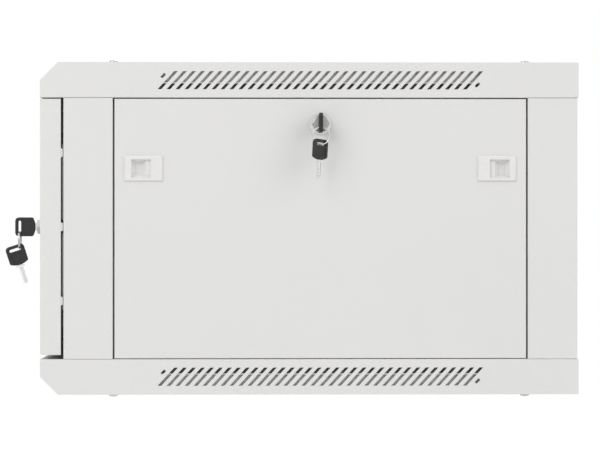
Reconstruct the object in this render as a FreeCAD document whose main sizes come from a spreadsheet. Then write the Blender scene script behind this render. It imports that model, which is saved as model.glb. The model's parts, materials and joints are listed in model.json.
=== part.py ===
"""Wall mount network cabinet, 19 inch, 6 units high, 600 mm deep, as a parametric document.

Frame: +Z up, the door at -Y, the wall plane at y = 0, +X the cabinet's right side seen from the
front. The origin is the centre of the wall fixing holes on the rear face of the back panel.
All lengths are millimetres and all angles degrees.
"""
import FreeCAD, Part
import os
import re

import Sketcher

# Driving dimensions, by assembly
SIZES = {
    # Overall cabinet
    "width": 600.0,
    "depth": 600.0,
    "height": 370.0,
    "sheet": 1.2,
    "bend": 1.0,
    "seat": 0.3,
    # Top and bottom covers
    "skirt": 39.5,
    "chamfer": 20.0,
    "front_lip": 23.0,
    "rear_flange": 22.0,
    "hem": 10.0,
    "vent_pitch": 10.0,
    "vent_count": 35,
    "vent_tall": 20.2,
    "vent_wide": 4.2,
    "vent_lean": 18.6,
    "vent_end_offset": 175.0,
    "vent_end_rise": 5.0,
    "vent_end_half": 1.25,
    "vent_end_radius": 1.5,
    "vent_drop": 20.0,
    "fan_square": 105.0,
    "fan_hole_radius": 2.25,
    "fan_opening": 112.0,
    "fan_slot": 8.0,
    "fan_spacing": 150.0,
    "fan_setback": 300.0,
    "cable_wide": 300.0,
    "cable_long": 70.0,
    "cable_setback": 90.0,
    "cable_overlap": 12.0,
    # Side frames
    "column_setback": 26.1,
    "front_column": 54.8,
    "front_border": 22.0,
    "rear_column": 55.45,
    "column_return": 11.0,
    "rear_border": 38.0,
    "rail_web_inset": 7.0,
    "rail_foot": 20.0,
    "rail_tall": 22.0,
    "rail_ledge": 5.4,
    # Rack rails and their supports
    "rack_sheet": 1.5,
    "rack_spacing": 465.1,
    "rack_unit": 44.45,
    "rack_units": 6,
    "rack_face": 22.2,
    "rack_web": 30.0,
    "rack_front_setback": 62.0,
    "rack_rear_setback": 90.0,
    "rack_hole": 9.5,
    "rack_hole_first": 6.35,
    "rack_hole_step": 15.875,
    "support_tall": 25.0,
    "support_tab": 40.0,
    # Back panel
    "wall_hole_x": 450.0,
    "wall_hole_z": 230.0,
    "wall_hole_radius": 4.5,
    "back_inset": 21.0,
    "back_entry_wide": 300.0,
    "back_entry_tall": 56.0,
    "back_entry_edge": 52.0,
    "back_screw_x": 270.0,
    "back_screw_z": 55.0,
    "back_screw_radius": 2.0,
    # Cover bolts
    "bolt_radius": 3.0,
    "bolt_head_radius": 5.7,
    "bolt_head": 3.4,
    "bolt_inset": 17.0,
    "bolt_length": 12.0,
    "bolt_front": 519.5,
    "bolt_rear": 58.5,
    "rail_bolt_radius": 3.0,
    "dome_flat": 0.35,
    "dome_rim": 0.3,
    "dome_shoulder": 0.75,
    # Door
    "door_thick": 23.1,
    "door_top_gap": 1.3,
    "door_bottom_gap": 4.8,
    "door_side_gap": 1.0,
    "door_border": 58.0,
    "door_border_tall": 42.0,
    "door_return": 13.0,
    "glass": 4.0,
    "glass_overlap": 12.0,
    "gasket": 0.8,
    "hinge_inset": 7.0,
    "hinge_setback": 6.5,
    "hinge_radius": 2.5,
    "hinge_reach": 6.5,
    "hinge_bracket": 24.0,
    "buffer_spacing": 82.5,
    "buffer_tall": 10.0,
    "buffer_thick": 2.3,
    "buffer_wide": 8.0,
    "door_lock_inset": 34.0,
    # Side panels
    "panel_gap": 1.9,
    "panel_top_gap": 1.3,
    "panel_bottom_gap": 0.8,
    "panel_flange": 10.0,
    "hook_offset": 217.3,
    "hook_wide": 8.0,
    "hook_slot": 9.6,
    "hook_long": 15.0,
    "foot_wide": 6.0,
    "panel_lock_drop": 27.4,
    "latch_inset": 32.4,
    "latch_z": 66.6,
    # Cam lock
    "lock_flange_radius": 12.25,
    "lock_flange": 2.4,
    "lock_head": 6.0,
    "lock_head_radius": 9.6,
    "barrel_radius": 8.0,
    "barrel_flat": 6.9,
    "barrel": 26.0,
    "plug_radius": 6.0,
    "plug_fit": 0.05,
    "plug_tail": 7.0,
    "plug_tail_length": 5.0,
    "nut_radius": 12.0,
    "nut_thick": 4.0,
    "cam_wide": 14.0,
    "cam_thick": 1.5,
    "cam_gap": 3.0,
    "cam_nut": 2.5,
    "cam_nut_radius": 7.6,
    "cam_reach": 36.0,
    "door_cam_reach": 27.0,
    "cam_crank": 14.0,
    "cam_step": 15.4,
    "fit": 0.2,
    # Keys and rings
    "bow_long": 22.8,
    "bow_wide": 21.4,
    "bow_thick": 4.5,
    "bow_corner": 3.6,
    "bow_sag": 2.6,
    "bow_round": 1.2,
    "bow_slot": 14.0,
    "bow_slot_wide": 3.1,
    "bow_slot_edge": 3.6,
    "bow_slot_bevel": 0.8,
    "bow_recess": 0.5,
    "thumb_wide": 13.3,
    "thumb_foot": 4.6,
    "thumb_head": 4.5,
    "shoulder": 2.4,
    "shoulder_wide": 9.7,
    "blade": 19.8,
    "blade_wide": 5.3,
    "blade_thick": 2.0,
    "blade_point": 1.5,
    "notch_first": 4.75,
    "notch_step": 3.56,
    "notch_mouth": 2.4,
    "notch_floor": 0.6,
    "key_groove": 1.0,
    "key_groove_in": 0.3,
    "key_groove_deep": 0.4,
    "tang": 7.0,
    "key_fit": 0.08,
    "ring_radius": 9.4,
    "ring_wire": 0.65,
    "ring_turn": 1.2,
    "ring_hang": 6.0,
    "door_spare_swing": 18.0,
    "side_spare_turn": 45.0,
    "side_spare_lean": 4.0,
    "side_spare_shift": 1.2,
    "side_spare_drop": 0.5,
    # Slide latches
    "bezel_long": 43.0,
    "bezel_tall": 28.2,
    "bezel_proud": 2.0,
    "bezel_slope": 1.2,
    "window_long": 21.6,
    "window_tall": 20.0,
    "window_shift": 2.8,
    "housing_long": 39.0,
    "housing_tall": 24.4,
    "housing_deep": 11.0,
    "housing_wall": 1.2,
    "slider_long": 29.0,
    "slider_plate": 1.5,
    "cup_long": 16.2,
    "cup_floor_long": 7.5,
    "cup_floor_tall": 13.4,
    "cup_deep": 5.8,
    "tongue_thick": 3.0,
    "tongue_tall": 19.0,
    "tongue_gap": 1.0,
    "latch_fit": 0.3,
    # Earth stud
    "stud_radius": 3.0,
    "stud_long": 16.0,
}

# Places and lengths that follow from the driving dimensions
DERIVED = {
    "half_width": "width / 2",
    "half_height": "height / 2",
    "skin": "half_width - sheet",
    "skirt_z": "half_height - skirt",
    "roof": "half_height - sheet",
    "mitre": "sheet * (sqrt(2) - 1)",
    "column_front_y": "-depth + column_setback",
    "column_back_y": "column_front_y + front_column",
    "rear_column_back_y": "-sheet - seat / 3",
    "rear_column_front_y": "rear_column_back_y - rear_column",
    "opening_mid_y": "(column_back_y + rear_column_front_y) / 2",
    "opening_half": "(rear_column_front_y - column_back_y) / 2",
    "rail_web_x": "half_width - rail_web_inset",
    "rail_ledge_z": "half_height - rail_tall - sheet - seat",
    "rail_top_z": "roof - seat / 3",
    "column_end_z": "rail_ledge_z - seat",
    "panel_half": "opening_half - panel_gap",
    "panel_top_z": "skirt_z - panel_top_gap",
    "panel_foot_z": "-skirt_z + panel_bottom_gap",
    "door_back_y": "-depth + door_thick",
    "door_top_z": "skirt_z - door_top_gap",
    "door_foot_z": "-skirt_z + door_bottom_gap",
    "door_mid_z": "(door_top_z + door_foot_z) / 2",
    "door_x": "half_width - door_side_gap",
    "window_x": "door_x - door_border",
    "window_half_z": "(door_top_z - door_foot_z) / 2 - door_border_tall",
    "glass_front_y": "-depth + sheet + gasket",
    "hinge_x": "-half_width + hinge_inset",
    "hinge_y": "-depth + hinge_setback",
    "knob": "1.6 * hinge_radius",
    "upper_pin": "hinge_bracket + hinge_reach + seat + knob",
    "lower_pin": "upper_pin + door_bottom_gap - door_top_gap",
    "door_lock_x": "half_width - door_lock_inset",
    "panel_lock_z": "panel_top_z - panel_lock_drop",
    "back_entry_foot": "-half_height + back_entry_edge",
    "rack_x": "rack_spacing / 2",
    "rack_web_x": "rack_x + rack_face / 2 + rack_sheet",
    "rack_half_z": "rack_unit * rack_units / 2",
    "support_x": "rack_web_x + seat",
    "support_low_z": "skirt_z - 2 * sheet",
    "rack_end_z": "support_low_z + support_tall",
    "key_out": "lock_head + shoulder",
    "bow_end": "key_out + bow_long",
    "slot_mid": "bow_end - bow_slot_edge - bow_slot_wide / 2",
    "bar_mid": "(bow_wide / 2 + bow_slot / 2) / 2",
    "slot_centre": "bow_slot / 2 - bow_slot_wide / 2",
    "cam_z": "-barrel - cam_gap",
    "slider_top": "bezel_proud - housing_wall - bezel_slope - latch_fit",
    "slider_floor": "-housing_deep",
    "tongue_top": "-panel_flange - sheet - 2 * seat / 3",
}

SIDES = {"right": 1, "left": -1}
LEVELS = {"upper": 1, "lower": -1}
ENDS = {"front": -1, "rear": 1}
UP = FreeCAD.Vector(0, 0, 1)
NEAR = 0.01
BUFFER_DRAFT = -20
LOCK_HEAD_DRAFT = -14
NOTCH_DEPTHS = (0.25, 0.5, 0.35, 0.55)

doc = FreeCAD.newDocument("WallCabinet")
sheet = doc.addObject("Spreadsheet::Sheet", "Sizes")
nodes = []


def fill_sheet():
    """Write every driving dimension into the sheet, with its name as the alias."""
    for row, (name, size) in enumerate(SIZES.items(), start=1):
        sheet.set("A%d" % row, name)
        sheet.set("B%d" % row, str(size))
        sheet.setAlias("B%d" % row, name)
    doc.recompute()


def fx(formula):
    """Return the formula with every named size written as a reference to its cell."""
    def swap(match):
        word = match.group(0)
        if word in SIZES:
            return "Sizes." + word
        if word in DERIVED:
            return "(" + fx(DERIVED[word]) + ")"
        return word
    return re.sub(r"[A-Za-z_]+", swap, str(formula))


def value(formula):
    """Return the present number of a formula."""
    return float(sheet.evalExpression(fx(formula)))


def new_body(name):
    """Start a sub-part whose label names its file."""
    body = doc.addObject("PartDesign::Body", name)
    body.Label = name
    nodes.append(body)
    return body


def sketch_on(body, plane, offset="0"):
    """Attach an empty sketch to one of the body's own origin planes, moved along its normal."""
    sketch = body.newObject("Sketcher::SketchObject", body.Name + "_sketch")
    support = [item for item in body.Origin.OriginFeatures if item.Role == plane + "_Plane"][0]
    sketch.AttachmentSupport = [(support, "")]
    sketch.MapMode = "FlatFace"
    sketch.setExpression("AttachmentOffset.Base.z", fx(offset))
    return sketch


def pin(sketch, geometry, position, spot):
    """Hold one point of a sketch at two formulas, measured from the sketch's origin."""
    for kind, formula in zip(("DistanceX", "DistanceY"), spot):
        size = value(formula)
        rule = sketch.addConstraint(Sketcher.Constraint(kind, -1, 1, geometry, position, size))
        sketch.setExpression("Constraints[%d]" % rule, fx(formula))


def outline(sketch, spots):
    """Draw a closed outline of straight edges through the spots."""
    first = sketch.GeometryCount
    count = len(spots)
    points = [FreeCAD.Vector(value(across), value(up), 0) for across, up in spots]
    for index, start in enumerate(points):
        sketch.addGeometry(Part.LineSegment(start, points[(index + 1) % count]), False)
    for index in range(count):
        following = first + (index + 1) % count
        sketch.addConstraint(Sketcher.Constraint("Coincident", first + index, 2, following, 1))
    for index, spot in enumerate(spots):
        pin(sketch, first + index, 1, spot)


def rectangle(sketch, left, right, low, high):
    """Draw an upright rectangle between four formulas."""
    outline(sketch, [(left, low), (right, low), (right, high), (left, high)])


def circle(sketch, centre, radius):
    """Draw a circle with a held centre and a bound radius."""
    spot = FreeCAD.Vector(value(centre[0]), value(centre[1]), 0)
    geometry = sketch.addGeometry(Part.Circle(spot, UP, value(radius)), False)
    pin(sketch, geometry, 3, centre)
    rule = sketch.addConstraint(Sketcher.Constraint("Radius", geometry, value(radius)))
    sketch.setExpression("Constraints[%d]" % rule, fx(radius))


def capsule(sketch, start, end, radius):
    """Draw a slot with round ends between two centres."""
    near = FreeCAD.Vector(value(start[0]), value(start[1]), 0)
    far = FreeCAD.Vector(value(end[0]), value(end[1]), 0)
    size = value(radius)
    along = (far - near).normalize()
    across = FreeCAD.Vector(-along.y, along.x, 0) * size
    cap_far = Part.Arc(far - across, far + along * size, far + across)
    cap_near = Part.Arc(near + across, near - along * size, near - across)
    shapes = [
        Part.LineSegment(near - across, far - across),
        cap_far,
        Part.LineSegment(far + across, near + across),
        cap_near,
    ]
    first = sketch.GeometryCount
    for shape in shapes:
        sketch.addGeometry(shape, False)
    for index in range(4):
        following = first + (index + 1) % 4
        sketch.addConstraint(Sketcher.Constraint("Tangent", first + index, 2, following, 1))
    pin(sketch, first + 1, 3, end)
    pin(sketch, first + 3, 3, start)
    rule = sketch.addConstraint(Sketcher.Constraint("Radius", first + 1, size))
    sketch.setExpression("Constraints[%d]" % rule, fx(radius))


def hexagon(sketch, radius):
    """Draw a hexagon about the sketch's origin with corners at the radius."""
    spots = []
    for corner in range(6):
        angle = corner * 60
        spots.append(("%s * cos(%d deg)" % (radius, angle), "%s * sin(%d deg)" % (radius, angle)))
    outline(sketch, spots)


def extrude(body, kind, sketch, length, symmetric=False, reverse=False):
    """Add a pad or a pocket of the sketch with a bound length."""
    feature = body.newObject("PartDesign::" + kind, body.Name + "_" + kind.lower())
    feature.Profile = sketch
    feature.setExpression("Length", fx(length))
    feature.SideType = "Symmetric" if symmetric else "One side"
    feature.Reversed = reverse
    sketch.Visibility = False
    return feature


def block(body, kind, x_pair, y_pair, z_pair):
    """Pad or pocket one box between pairs of formulas along X, Y and Z."""
    sketch = sketch_on(body, "XY", z_pair[0])
    rectangle(sketch, x_pair[0], x_pair[1], y_pair[0], y_pair[1])
    length = "(%s) - (%s)" % (z_pair[1], z_pair[0])
    return extrude(body, kind, sketch, length, reverse=kind == "Pocket")


def round_bends(body, bends):
    """Round the straight edges in which the outer faces of folded sheet meet.

    Each bend is two pairs of an axis and a formula, for the two faces that it joins."""
    doc.recompute()
    tip = body.Tip
    names = []
    for index, edge in enumerate(tip.Shape.Edges, start=1):
        ends = [vertex.Point for vertex in edge.Vertexes]
        for bend in bends:
            if all(abs(getattr(end, axis) - value(place)) < NEAR for axis, place in bend for end in ends):
                names.append("Edge%d" % index)
    rounding = body.newObject("PartDesign::Fillet", body.Name + "_bends")
    rounding.Base = (tip, names)
    rounding.setExpression("Radius", fx("bend"))


def turned(name, plane, spots, axis, body=None, kind="Revolution"):
    """Revolve an outline about one of its sketch's axes."""
    body = body or new_body(name)
    sketch = sketch_on(body, plane)
    outline(sketch, spots)
    feature = body.newObject("PartDesign::" + kind, body.Name + "_turned")
    feature.Profile = sketch
    feature.ReferenceAxis = (sketch, [axis])
    feature.Angle = 360
    sketch.Visibility = False
    return body


def place(body, spots, rotation=None):
    """Bind a sub-part's place to three formulas and set its rotation."""
    base = FreeCAD.Vector(*[value(spot) for spot in spots])
    body.Placement = FreeCAD.Placement(base, rotation or FreeCAD.Rotation())
    for axis, spot in zip("xyz", spots):
        body.setExpression("Placement.Base." + axis, fx(spot))


def facing(outward):
    """Return the rotation that points local +Z outward and keeps local +Y up."""
    return FreeCAD.Rotation(UP.cross(outward), UP, outward, "ZYX")


def group(name, pieces):
    """Join several separate solids into one named sub-part."""
    compound = doc.addObject("Part::Compound", name)
    compound.Links = pieces
    compound.Label = name
    nodes.append(compound)
    for piece in pieces:
        if piece in nodes:
            nodes.remove(piece)
        piece.Visibility = False
    return compound


def cover(name, level):
    """Fold the top or bottom cover: roof, bevelled front, lip, skirts with vents and hems."""
    body = new_body(name)

    def z(formula):
        return "%d * (%s)" % (level, formula)

    profile = sketch_on(body, "YZ", "-half_width")
    outline(profile, [
        ("0", z("half_height - rear_flange")),
        ("0", z("half_height")),
        ("-depth + chamfer", z("half_height")),
        ("-depth", z("half_height - chamfer")),
        ("-depth", z("skirt_z")),
        ("-depth + front_lip", z("skirt_z")),
        ("-depth + front_lip", z("skirt_z + sheet")),
        ("-depth + sheet", z("skirt_z + sheet")),
        ("-depth + sheet", z("half_height - chamfer - mitre")),
        ("-depth + chamfer + mitre", z("roof")),
        ("-sheet", z("roof")),
        ("-sheet", z("half_height - rear_flange")),
    ])
    extrude(body, "Pad", profile, "width")
    for side in SIDES.values():
        start = "skin" if side > 0 else "-half_width"
        skirt = sketch_on(body, "YZ", start)
        outline(skirt, [
            ("0", z("skirt_z")),
            ("0", z("half_height")),
            ("-depth + chamfer", z("half_height")),
            ("-depth", z("half_height - chamfer")),
            ("-depth", z("skirt_z")),
        ])
        extrude(body, "Pad", skirt, "sheet")
        add_hem(body, side, level)
    faces = [("x", "%d * half_width" % side) for side in SIDES.values()]
    round_bends(body, [(face, ("z", z("skirt_z"))) for face in faces])
    cut_hinge_hole(body, level)
    cut_bolt_holes(body, level)
    cut_cable_entry(body, level)
    if level > 0:
        cut_fan_grilles(body)
    for side in SIDES.values():
        cut_vents(body, side, level)
    return body


def add_hem(body, side, level):
    """Turn the skirt's edge inward, with a slot for each hook of the side panel."""
    inner = "%d * (half_width - hem)" % side
    outer = "%d * half_width" % side
    low = "skirt_z" if level > 0 else "-skirt_z - sheet"
    hem = sketch_on(body, "XY", low)
    edge = "opening_half - seat"
    rectangle(hem, inner, outer, "opening_mid_y - (%s)" % edge, "opening_mid_y + (%s)" % edge)
    extrude(body, "Pad", hem, "sheet")
    slots = sketch_on(body, "XY", low)
    for end in ENDS.values():
        middle = "opening_mid_y + %d * hook_offset" % end
        reach = "%d * (skin - 0.2 * sheet)" % side
        rectangle(slots, "%d * (half_width - hem - 1)" % side, reach,
                  middle + " - hook_slot / 2", middle + " + hook_slot / 2")
    extrude(body, "Pocket", slots, "sheet", reverse=True)


def cut_vents(body, side, level):
    """Cut the row of leaning vent slots and the short round-ended slot at each end of it."""
    start = "skin" if side > 0 else "-half_width"
    middle_z = "%d * (half_height - vent_drop)" % level
    lean = "%d * vent_lean / 2" % side
    first_y = "opening_mid_y - (vent_count - 1) / 2 * vent_pitch"
    row = sketch_on(body, "YZ", start)
    outline(row, [
        (first_y + " - %s - vent_wide / 2" % lean, middle_z + " - vent_tall / 2"),
        (first_y + " - %s + vent_wide / 2" % lean, middle_z + " - vent_tall / 2"),
        (first_y + " + %s + vent_wide / 2" % lean, middle_z + " + vent_tall / 2"),
        (first_y + " + %s - vent_wide / 2" % lean, middle_z + " + vent_tall / 2"),
    ])
    slot = extrude(body, "Pocket", row, "sheet", reverse=True)
    slot.Refine = False
    pattern = body.newObject("PartDesign::LinearPattern", body.Name + "_vents")
    pattern.Refine = False
    pattern.Originals = [slot]
    pattern.Direction = (row, ["H_Axis"])
    pattern.setExpression("Occurrences", fx("vent_count"))
    pattern.setExpression("Length", fx("(vent_count - 1) * vent_pitch"))
    body.Tip = pattern
    ends = sketch_on(body, "YZ", start)
    for end in ENDS.values():
        mid_y = "opening_mid_y + %d * vent_end_offset" % end
        mid_z = middle_z + " - %d * vent_end_rise" % (end * side)
        half = "%d * vent_end_half" % side
        capsule(ends, (mid_y + " - (%s)" % half, mid_z + " - vent_end_half"),
                (mid_y + " + (%s)" % half, mid_z + " + vent_end_half"), "vent_end_radius")
    extrude(body, "Pocket", ends, "sheet", reverse=True).Refine = False


def cut_hinge_hole(body, level):
    """Bore the front lip for the door's hinge pin."""
    hole = sketch_on(body, "XY", "%d * skirt_z - sheet" % level)
    circle(hole, ("hinge_x", "hinge_y"), "hinge_radius + plug_fit")
    extrude(body, "Pocket", hole, "2 * sheet", reverse=True)


def cut_bolt_holes(body, level):
    """Bore the roof for the bolts that hold it to the side frames."""
    holes = sketch_on(body, "XY", "%d * half_height - sheet" % level)
    for side in SIDES.values():
        for reach in ("bolt_front", "bolt_rear"):
            circle(holes, ("%d * (half_width - bolt_inset)" % side, "-" + reach), "bolt_radius + fit / 2")
    extrude(body, "Pocket", holes, "2 * sheet", reverse=True)


def cut_cable_entry(body, level):
    """Cut the cable entry near the wall."""
    entry = sketch_on(body, "XY", "%d * half_height - sheet" % level)
    rectangle(entry, "-cable_wide / 2", "cable_wide / 2",
              "-cable_setback - cable_long / 2", "-cable_setback + cable_long / 2")
    extrude(body, "Pocket", entry, "2 * sheet", reverse=True)


def cut_fan_grilles(body):
    """Cut two round grilles of parallel slots, each with four holes for a 120 mm fan."""
    slots = sketch_on(body, "XY", "half_height - 2 * sheet")
    holes = sketch_on(body, "XY", "half_height - 2 * sheet")
    count = 7
    for side in SIDES.values():
        centre_x = "%d * fan_spacing / 2" % side
        for index in range(count):
            step = index - (count - 1) / 2
            share = step / (count / 2)
            reach = "fan_opening / 2 * sqrt(1 - %.4f) - fan_slot / 2" % (share * share)
            across = centre_x + " + %.1f * fan_opening / %d" % (step, count)
            capsule(slots, (across, "-fan_setback - (%s)" % reach),
                    (across, "-fan_setback + (%s)" % reach), "fan_slot / 2")
        for along in ENDS.values():
            for across in ENDS.values():
                circle(holes, (centre_x + " + %d * fan_square / 2" % across,
                               "-fan_setback + %d * fan_square / 2" % along), "fan_hole_radius")
    extrude(body, "Pocket", slots, "3 * sheet", reverse=True)
    extrude(body, "Pocket", holes, "3 * sheet", reverse=True)


def back_panel():
    """Make the back panel with its wall holes, cable entry and screw holes."""
    body = new_body("back_panel")
    plate = sketch_on(body, "XZ")
    edge_x = "half_width - back_inset"
    edge_z = "half_height - rear_flange - seat"
    rectangle(plate, "-(%s)" % edge_x, edge_x, "-(%s)" % edge_z, edge_z)
    rectangle(plate, "-back_entry_wide / 2", "back_entry_wide / 2",
              "back_entry_foot", "back_entry_foot + back_entry_tall")
    for side in SIDES.values():
        for level in LEVELS.values():
            circle(plate, ("%d * wall_hole_x / 2" % side, "%d * wall_hole_z / 2" % level),
                   "wall_hole_radius")
            for multiple in (1, 2):
                circle(plate, ("%d * back_screw_x" % side, "%d * back_screw_z" % (level * multiple)),
                       "back_screw_radius + fit / 2")
    extrude(body, "Pad", plate, "sheet")
    return body


def front_column(name, side):
    """Fold a front column: a front border, the side face and a return behind the side panel."""
    body = new_body(name)

    def x(formula):
        return "%d * (%s)" % (side, formula)

    fold = sketch_on(body, "XY")
    outline(fold, [
        (x("half_width - front_border"), "column_front_y"),
        (x("half_width"), "column_front_y"),
        (x("half_width"), "column_back_y"),
        (x("half_width - column_return"), "column_back_y"),
        (x("half_width - column_return"), "column_back_y - sheet"),
        (x("skin"), "column_back_y - sheet"),
        (x("skin"), "column_front_y + sheet"),
        (x("half_width - front_border"), "column_front_y + sheet"),
    ])
    extrude(body, "Pad", fold, "2 * column_end_z", symmetric=True)
    face = ("x", x("half_width"))
    round_bends(body, [(face, ("y", "column_front_y")), (face, ("y", "column_back_y"))])
    trim_column_ends(body, side, "column_front_y - 1", "column_back_y + 1")
    return body


def rear_column(name, side):
    """Fold a rear column: a return, the side face and the border that carries the back panel."""
    body = new_body(name)

    def x(formula):
        return "%d * (%s)" % (side, formula)

    fold = sketch_on(body, "XY")
    outline(fold, [
        (x("half_width - column_return"), "rear_column_front_y"),
        (x("half_width"), "rear_column_front_y"),
        (x("half_width"), "rear_column_back_y"),
        (x("half_width - rear_border"), "rear_column_back_y"),
        (x("half_width - rear_border"), "rear_column_back_y - sheet"),
        (x("skin"), "rear_column_back_y - sheet"),
        (x("skin"), "rear_column_front_y + sheet"),
        (x("half_width - column_return"), "rear_column_front_y + sheet"),
    ])
    extrude(body, "Pad", fold, "2 * column_end_z", symmetric=True)
    face = ("x", x("half_width"))
    round_bends(body, [(face, ("y", "rear_column_front_y")), (face, ("y", "rear_column_back_y"))])
    trim_column_ends(body, side, "rear_column_front_y - 1", "rear_column_back_y + 1")
    holes = sketch_on(body, "XZ")
    for level in LEVELS.values():
        for multiple in (1, 2):
            circle(holes, (x("back_screw_x"), "%d * back_screw_z" % (level * multiple)),
                   "back_screw_radius + fit / 2")
    extrude(body, "Pocket", holes, "6 * sheet", reverse=True)
    return body


def trim_column_ends(body, side, front, back):
    """Set both ends of a column back behind the covers' skirts and round the hem."""
    for level in LEVELS.values():
        low = "skirt_z - seat" if level > 0 else "-column_end_z - 1"
        ends = sketch_on(body, "XY", low)
        rectangle(ends, "%d * (skin - seat)" % side, "%d * (half_width + 1)" % side, front, back)
        extrude(body, "Pocket", ends, "column_end_z + 1 - skirt_z + seat", reverse=True)


def side_rail(name, side, level):
    """Fold the rail that joins the two columns of a side frame under a cover."""
    body = new_body(name)

    def x(formula):
        return "%d * (%s)" % (side, formula)

    def z(formula):
        return "%d * (%s)" % (level, formula)

    fold = sketch_on(body, "XZ", "sheet + seat")
    outline(fold, [
        (x("rail_web_x + rail_ledge"), z("rail_ledge_z")),
        (x("rail_web_x"), z("rail_ledge_z")),
        (x("rail_web_x"), z("rail_top_z - sheet")),
        (x("rail_web_x - rail_foot"), z("rail_top_z - sheet")),
        (x("rail_web_x - rail_foot"), z("rail_top_z")),
        (x("rail_web_x + sheet"), z("rail_top_z")),
        (x("rail_web_x + sheet"), z("rail_ledge_z + sheet")),
        (x("rail_web_x + rail_ledge"), z("rail_ledge_z + sheet")),
    ])
    extrude(body, "Pad", fold, "depth - column_setback - sheet - seat")
    holes = sketch_on(body, "XY", z("rail_top_z") + " - 2 * sheet")
    for reach in ("bolt_front", "bolt_rear"):
        circle(holes, (x("half_width - bolt_inset"), "-" + reach), "bolt_radius + fit / 2")
    extrude(body, "Pocket", holes, "4 * sheet", reverse=True)
    return body


def rack_rail(name, side, end):
    """Fold a rack rail with its square holes, three to each unit."""
    body = new_body(name)

    def x(formula):
        return "%d * (%s)" % (side, formula)

    face_y = "-depth + rack_front_setback" if end < 0 else "-rack_rear_setback"
    web_y = face_y + " - %d * rack_web" % end
    inner_y = face_y + " - %d * rack_sheet" % end
    fold = sketch_on(body, "XY")
    outline(fold, [
        (x("rack_x - rack_face / 2"), face_y),
        (x("rack_web_x"), face_y),
        (x("rack_web_x"), web_y),
        (x("rack_web_x - rack_sheet"), web_y),
        (x("rack_web_x - rack_sheet"), inner_y),
        (x("rack_x - rack_face / 2"), inner_y),
    ])
    extrude(body, "Pad", fold, "2 * rack_end_z", symmetric=True)
    near_y = inner_y if end < 0 else face_y
    holes = sketch_on(body, "XZ", "-(%s) - rack_sheet" % near_y)
    for mark in range(3):
        low = "-rack_half_z + rack_hole_first - rack_hole / 2 + %d * rack_hole_step" % mark
        rectangle(holes, x("rack_x") + " - rack_hole / 2", x("rack_x") + " + rack_hole / 2",
                  low, low + " + rack_hole")
    cut = extrude(body, "Pocket", holes, "3 * rack_sheet", reverse=True)
    pattern = body.newObject("PartDesign::LinearPattern", name + "_units")
    pattern.Originals = [cut]
    pattern.Direction = (holes, ["V_Axis"])
    pattern.setExpression("Occurrences", fx("rack_units"))
    pattern.setExpression("Length", fx("(rack_units - 1) * rack_unit"))
    body.Tip = pattern
    bolt_holes(body, side, face_y, end)
    return body


def bolt_holes(body, side, face_y, end):
    """Bore a rack rail or a support for the bolts that join them."""
    start = "rack_web_x - 2 * rack_sheet" if side > 0 else "-rack_web_x - 2 * rack_sheet"
    holes = sketch_on(body, "YZ", start)
    for level in LEVELS.values():
        circle(holes, rail_bolt_spot(face_y, end, level), "rail_bolt_radius + fit / 2")
    extrude(body, "Pocket", holes, "5 * rack_sheet", reverse=True)


def rail_bolt_spot(face_y, end, level):
    """Return where a rack rail's bolt passes through its web, as formulas along Y and Z."""
    return (face_y + " - %d * rack_web / 2" % end, "%d * (rack_end_z - support_tall / 2)" % level)


def rail_support(name, side, level):
    """Fold the horizontal support that carries one end of the front and rear rack rails."""
    body = new_body(name)

    def x(formula):
        return "%d * (%s)" % (side, formula)

    front = "column_front_y + sheet + seat"
    back = "rear_column_back_y - sheet - seat"
    fold = sketch_on(body, "XY", "support_low_z" if level > 0 else "-rack_end_z")
    outline(fold, [
        (x("support_x"), front),
        (x("support_x + support_tab"), front),
        (x("support_x + support_tab"), front + " + rack_sheet"),
        (x("support_x + rack_sheet"), front + " + rack_sheet"),
        (x("support_x + rack_sheet"), back + " - rack_sheet"),
        (x("support_x + support_tab"), back + " - rack_sheet"),
        (x("support_x + support_tab"), back),
        (x("support_x"), back),
    ])
    extrude(body, "Pad", fold, "support_tall")
    holes = sketch_on(body, "YZ", "support_x - rack_sheet" if side > 0 else "-support_x - 2 * rack_sheet")
    for end, face_y in ((-1, "-depth + rack_front_setback"), (1, "-rack_rear_setback")):
        circle(holes, rail_bolt_spot(face_y, end, level), "rail_bolt_radius + fit / 2")
    extrude(body, "Pocket", holes, "3 * rack_sheet", reverse=True)
    return body


def cable_cover(name, level):
    """Make the plate that closes a cable entry from inside, held by four pressed lugs."""
    body = new_body(name)
    low = "roof - seat / 3 - sheet" if level > 0 else "-roof + seat / 3"
    plate = sketch_on(body, "XY", low)
    wide = "cable_wide / 2 + cable_overlap"
    long = "cable_long / 2 + cable_overlap"
    rectangle(plate, "-(%s)" % wide, wide, "-cable_setback - (%s)" % long, "-cable_setback + (%s)" % long)
    extrude(body, "Pad", plate, "sheet")
    return body


def dome_bolt(name, spots, rotation, radius, head_radius, head, length):
    """Turn a bolt with a domed head whose seat is at its local origin."""
    body = new_body(name)
    sketch = sketch_on(body, "XZ")
    flat = "%s * dome_flat" % head_radius
    outline(sketch, [
        ("0", "-(%s)" % length),
        (radius, "-(%s)" % length),
        (radius, "0"),
        (head_radius, "0"),
        (head_radius, "%s * dome_rim" % head),
        ("%s * dome_shoulder" % head_radius, "%s * dome_shoulder" % head),
        (flat, head),
        ("0", head),
    ])
    feature = body.newObject("PartDesign::Revolution", name + "_turned")
    feature.Profile = sketch
    feature.ReferenceAxis = (sketch, ["V_Axis"])
    feature.Angle = 360
    place(body, spots, rotation)
    return body


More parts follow.
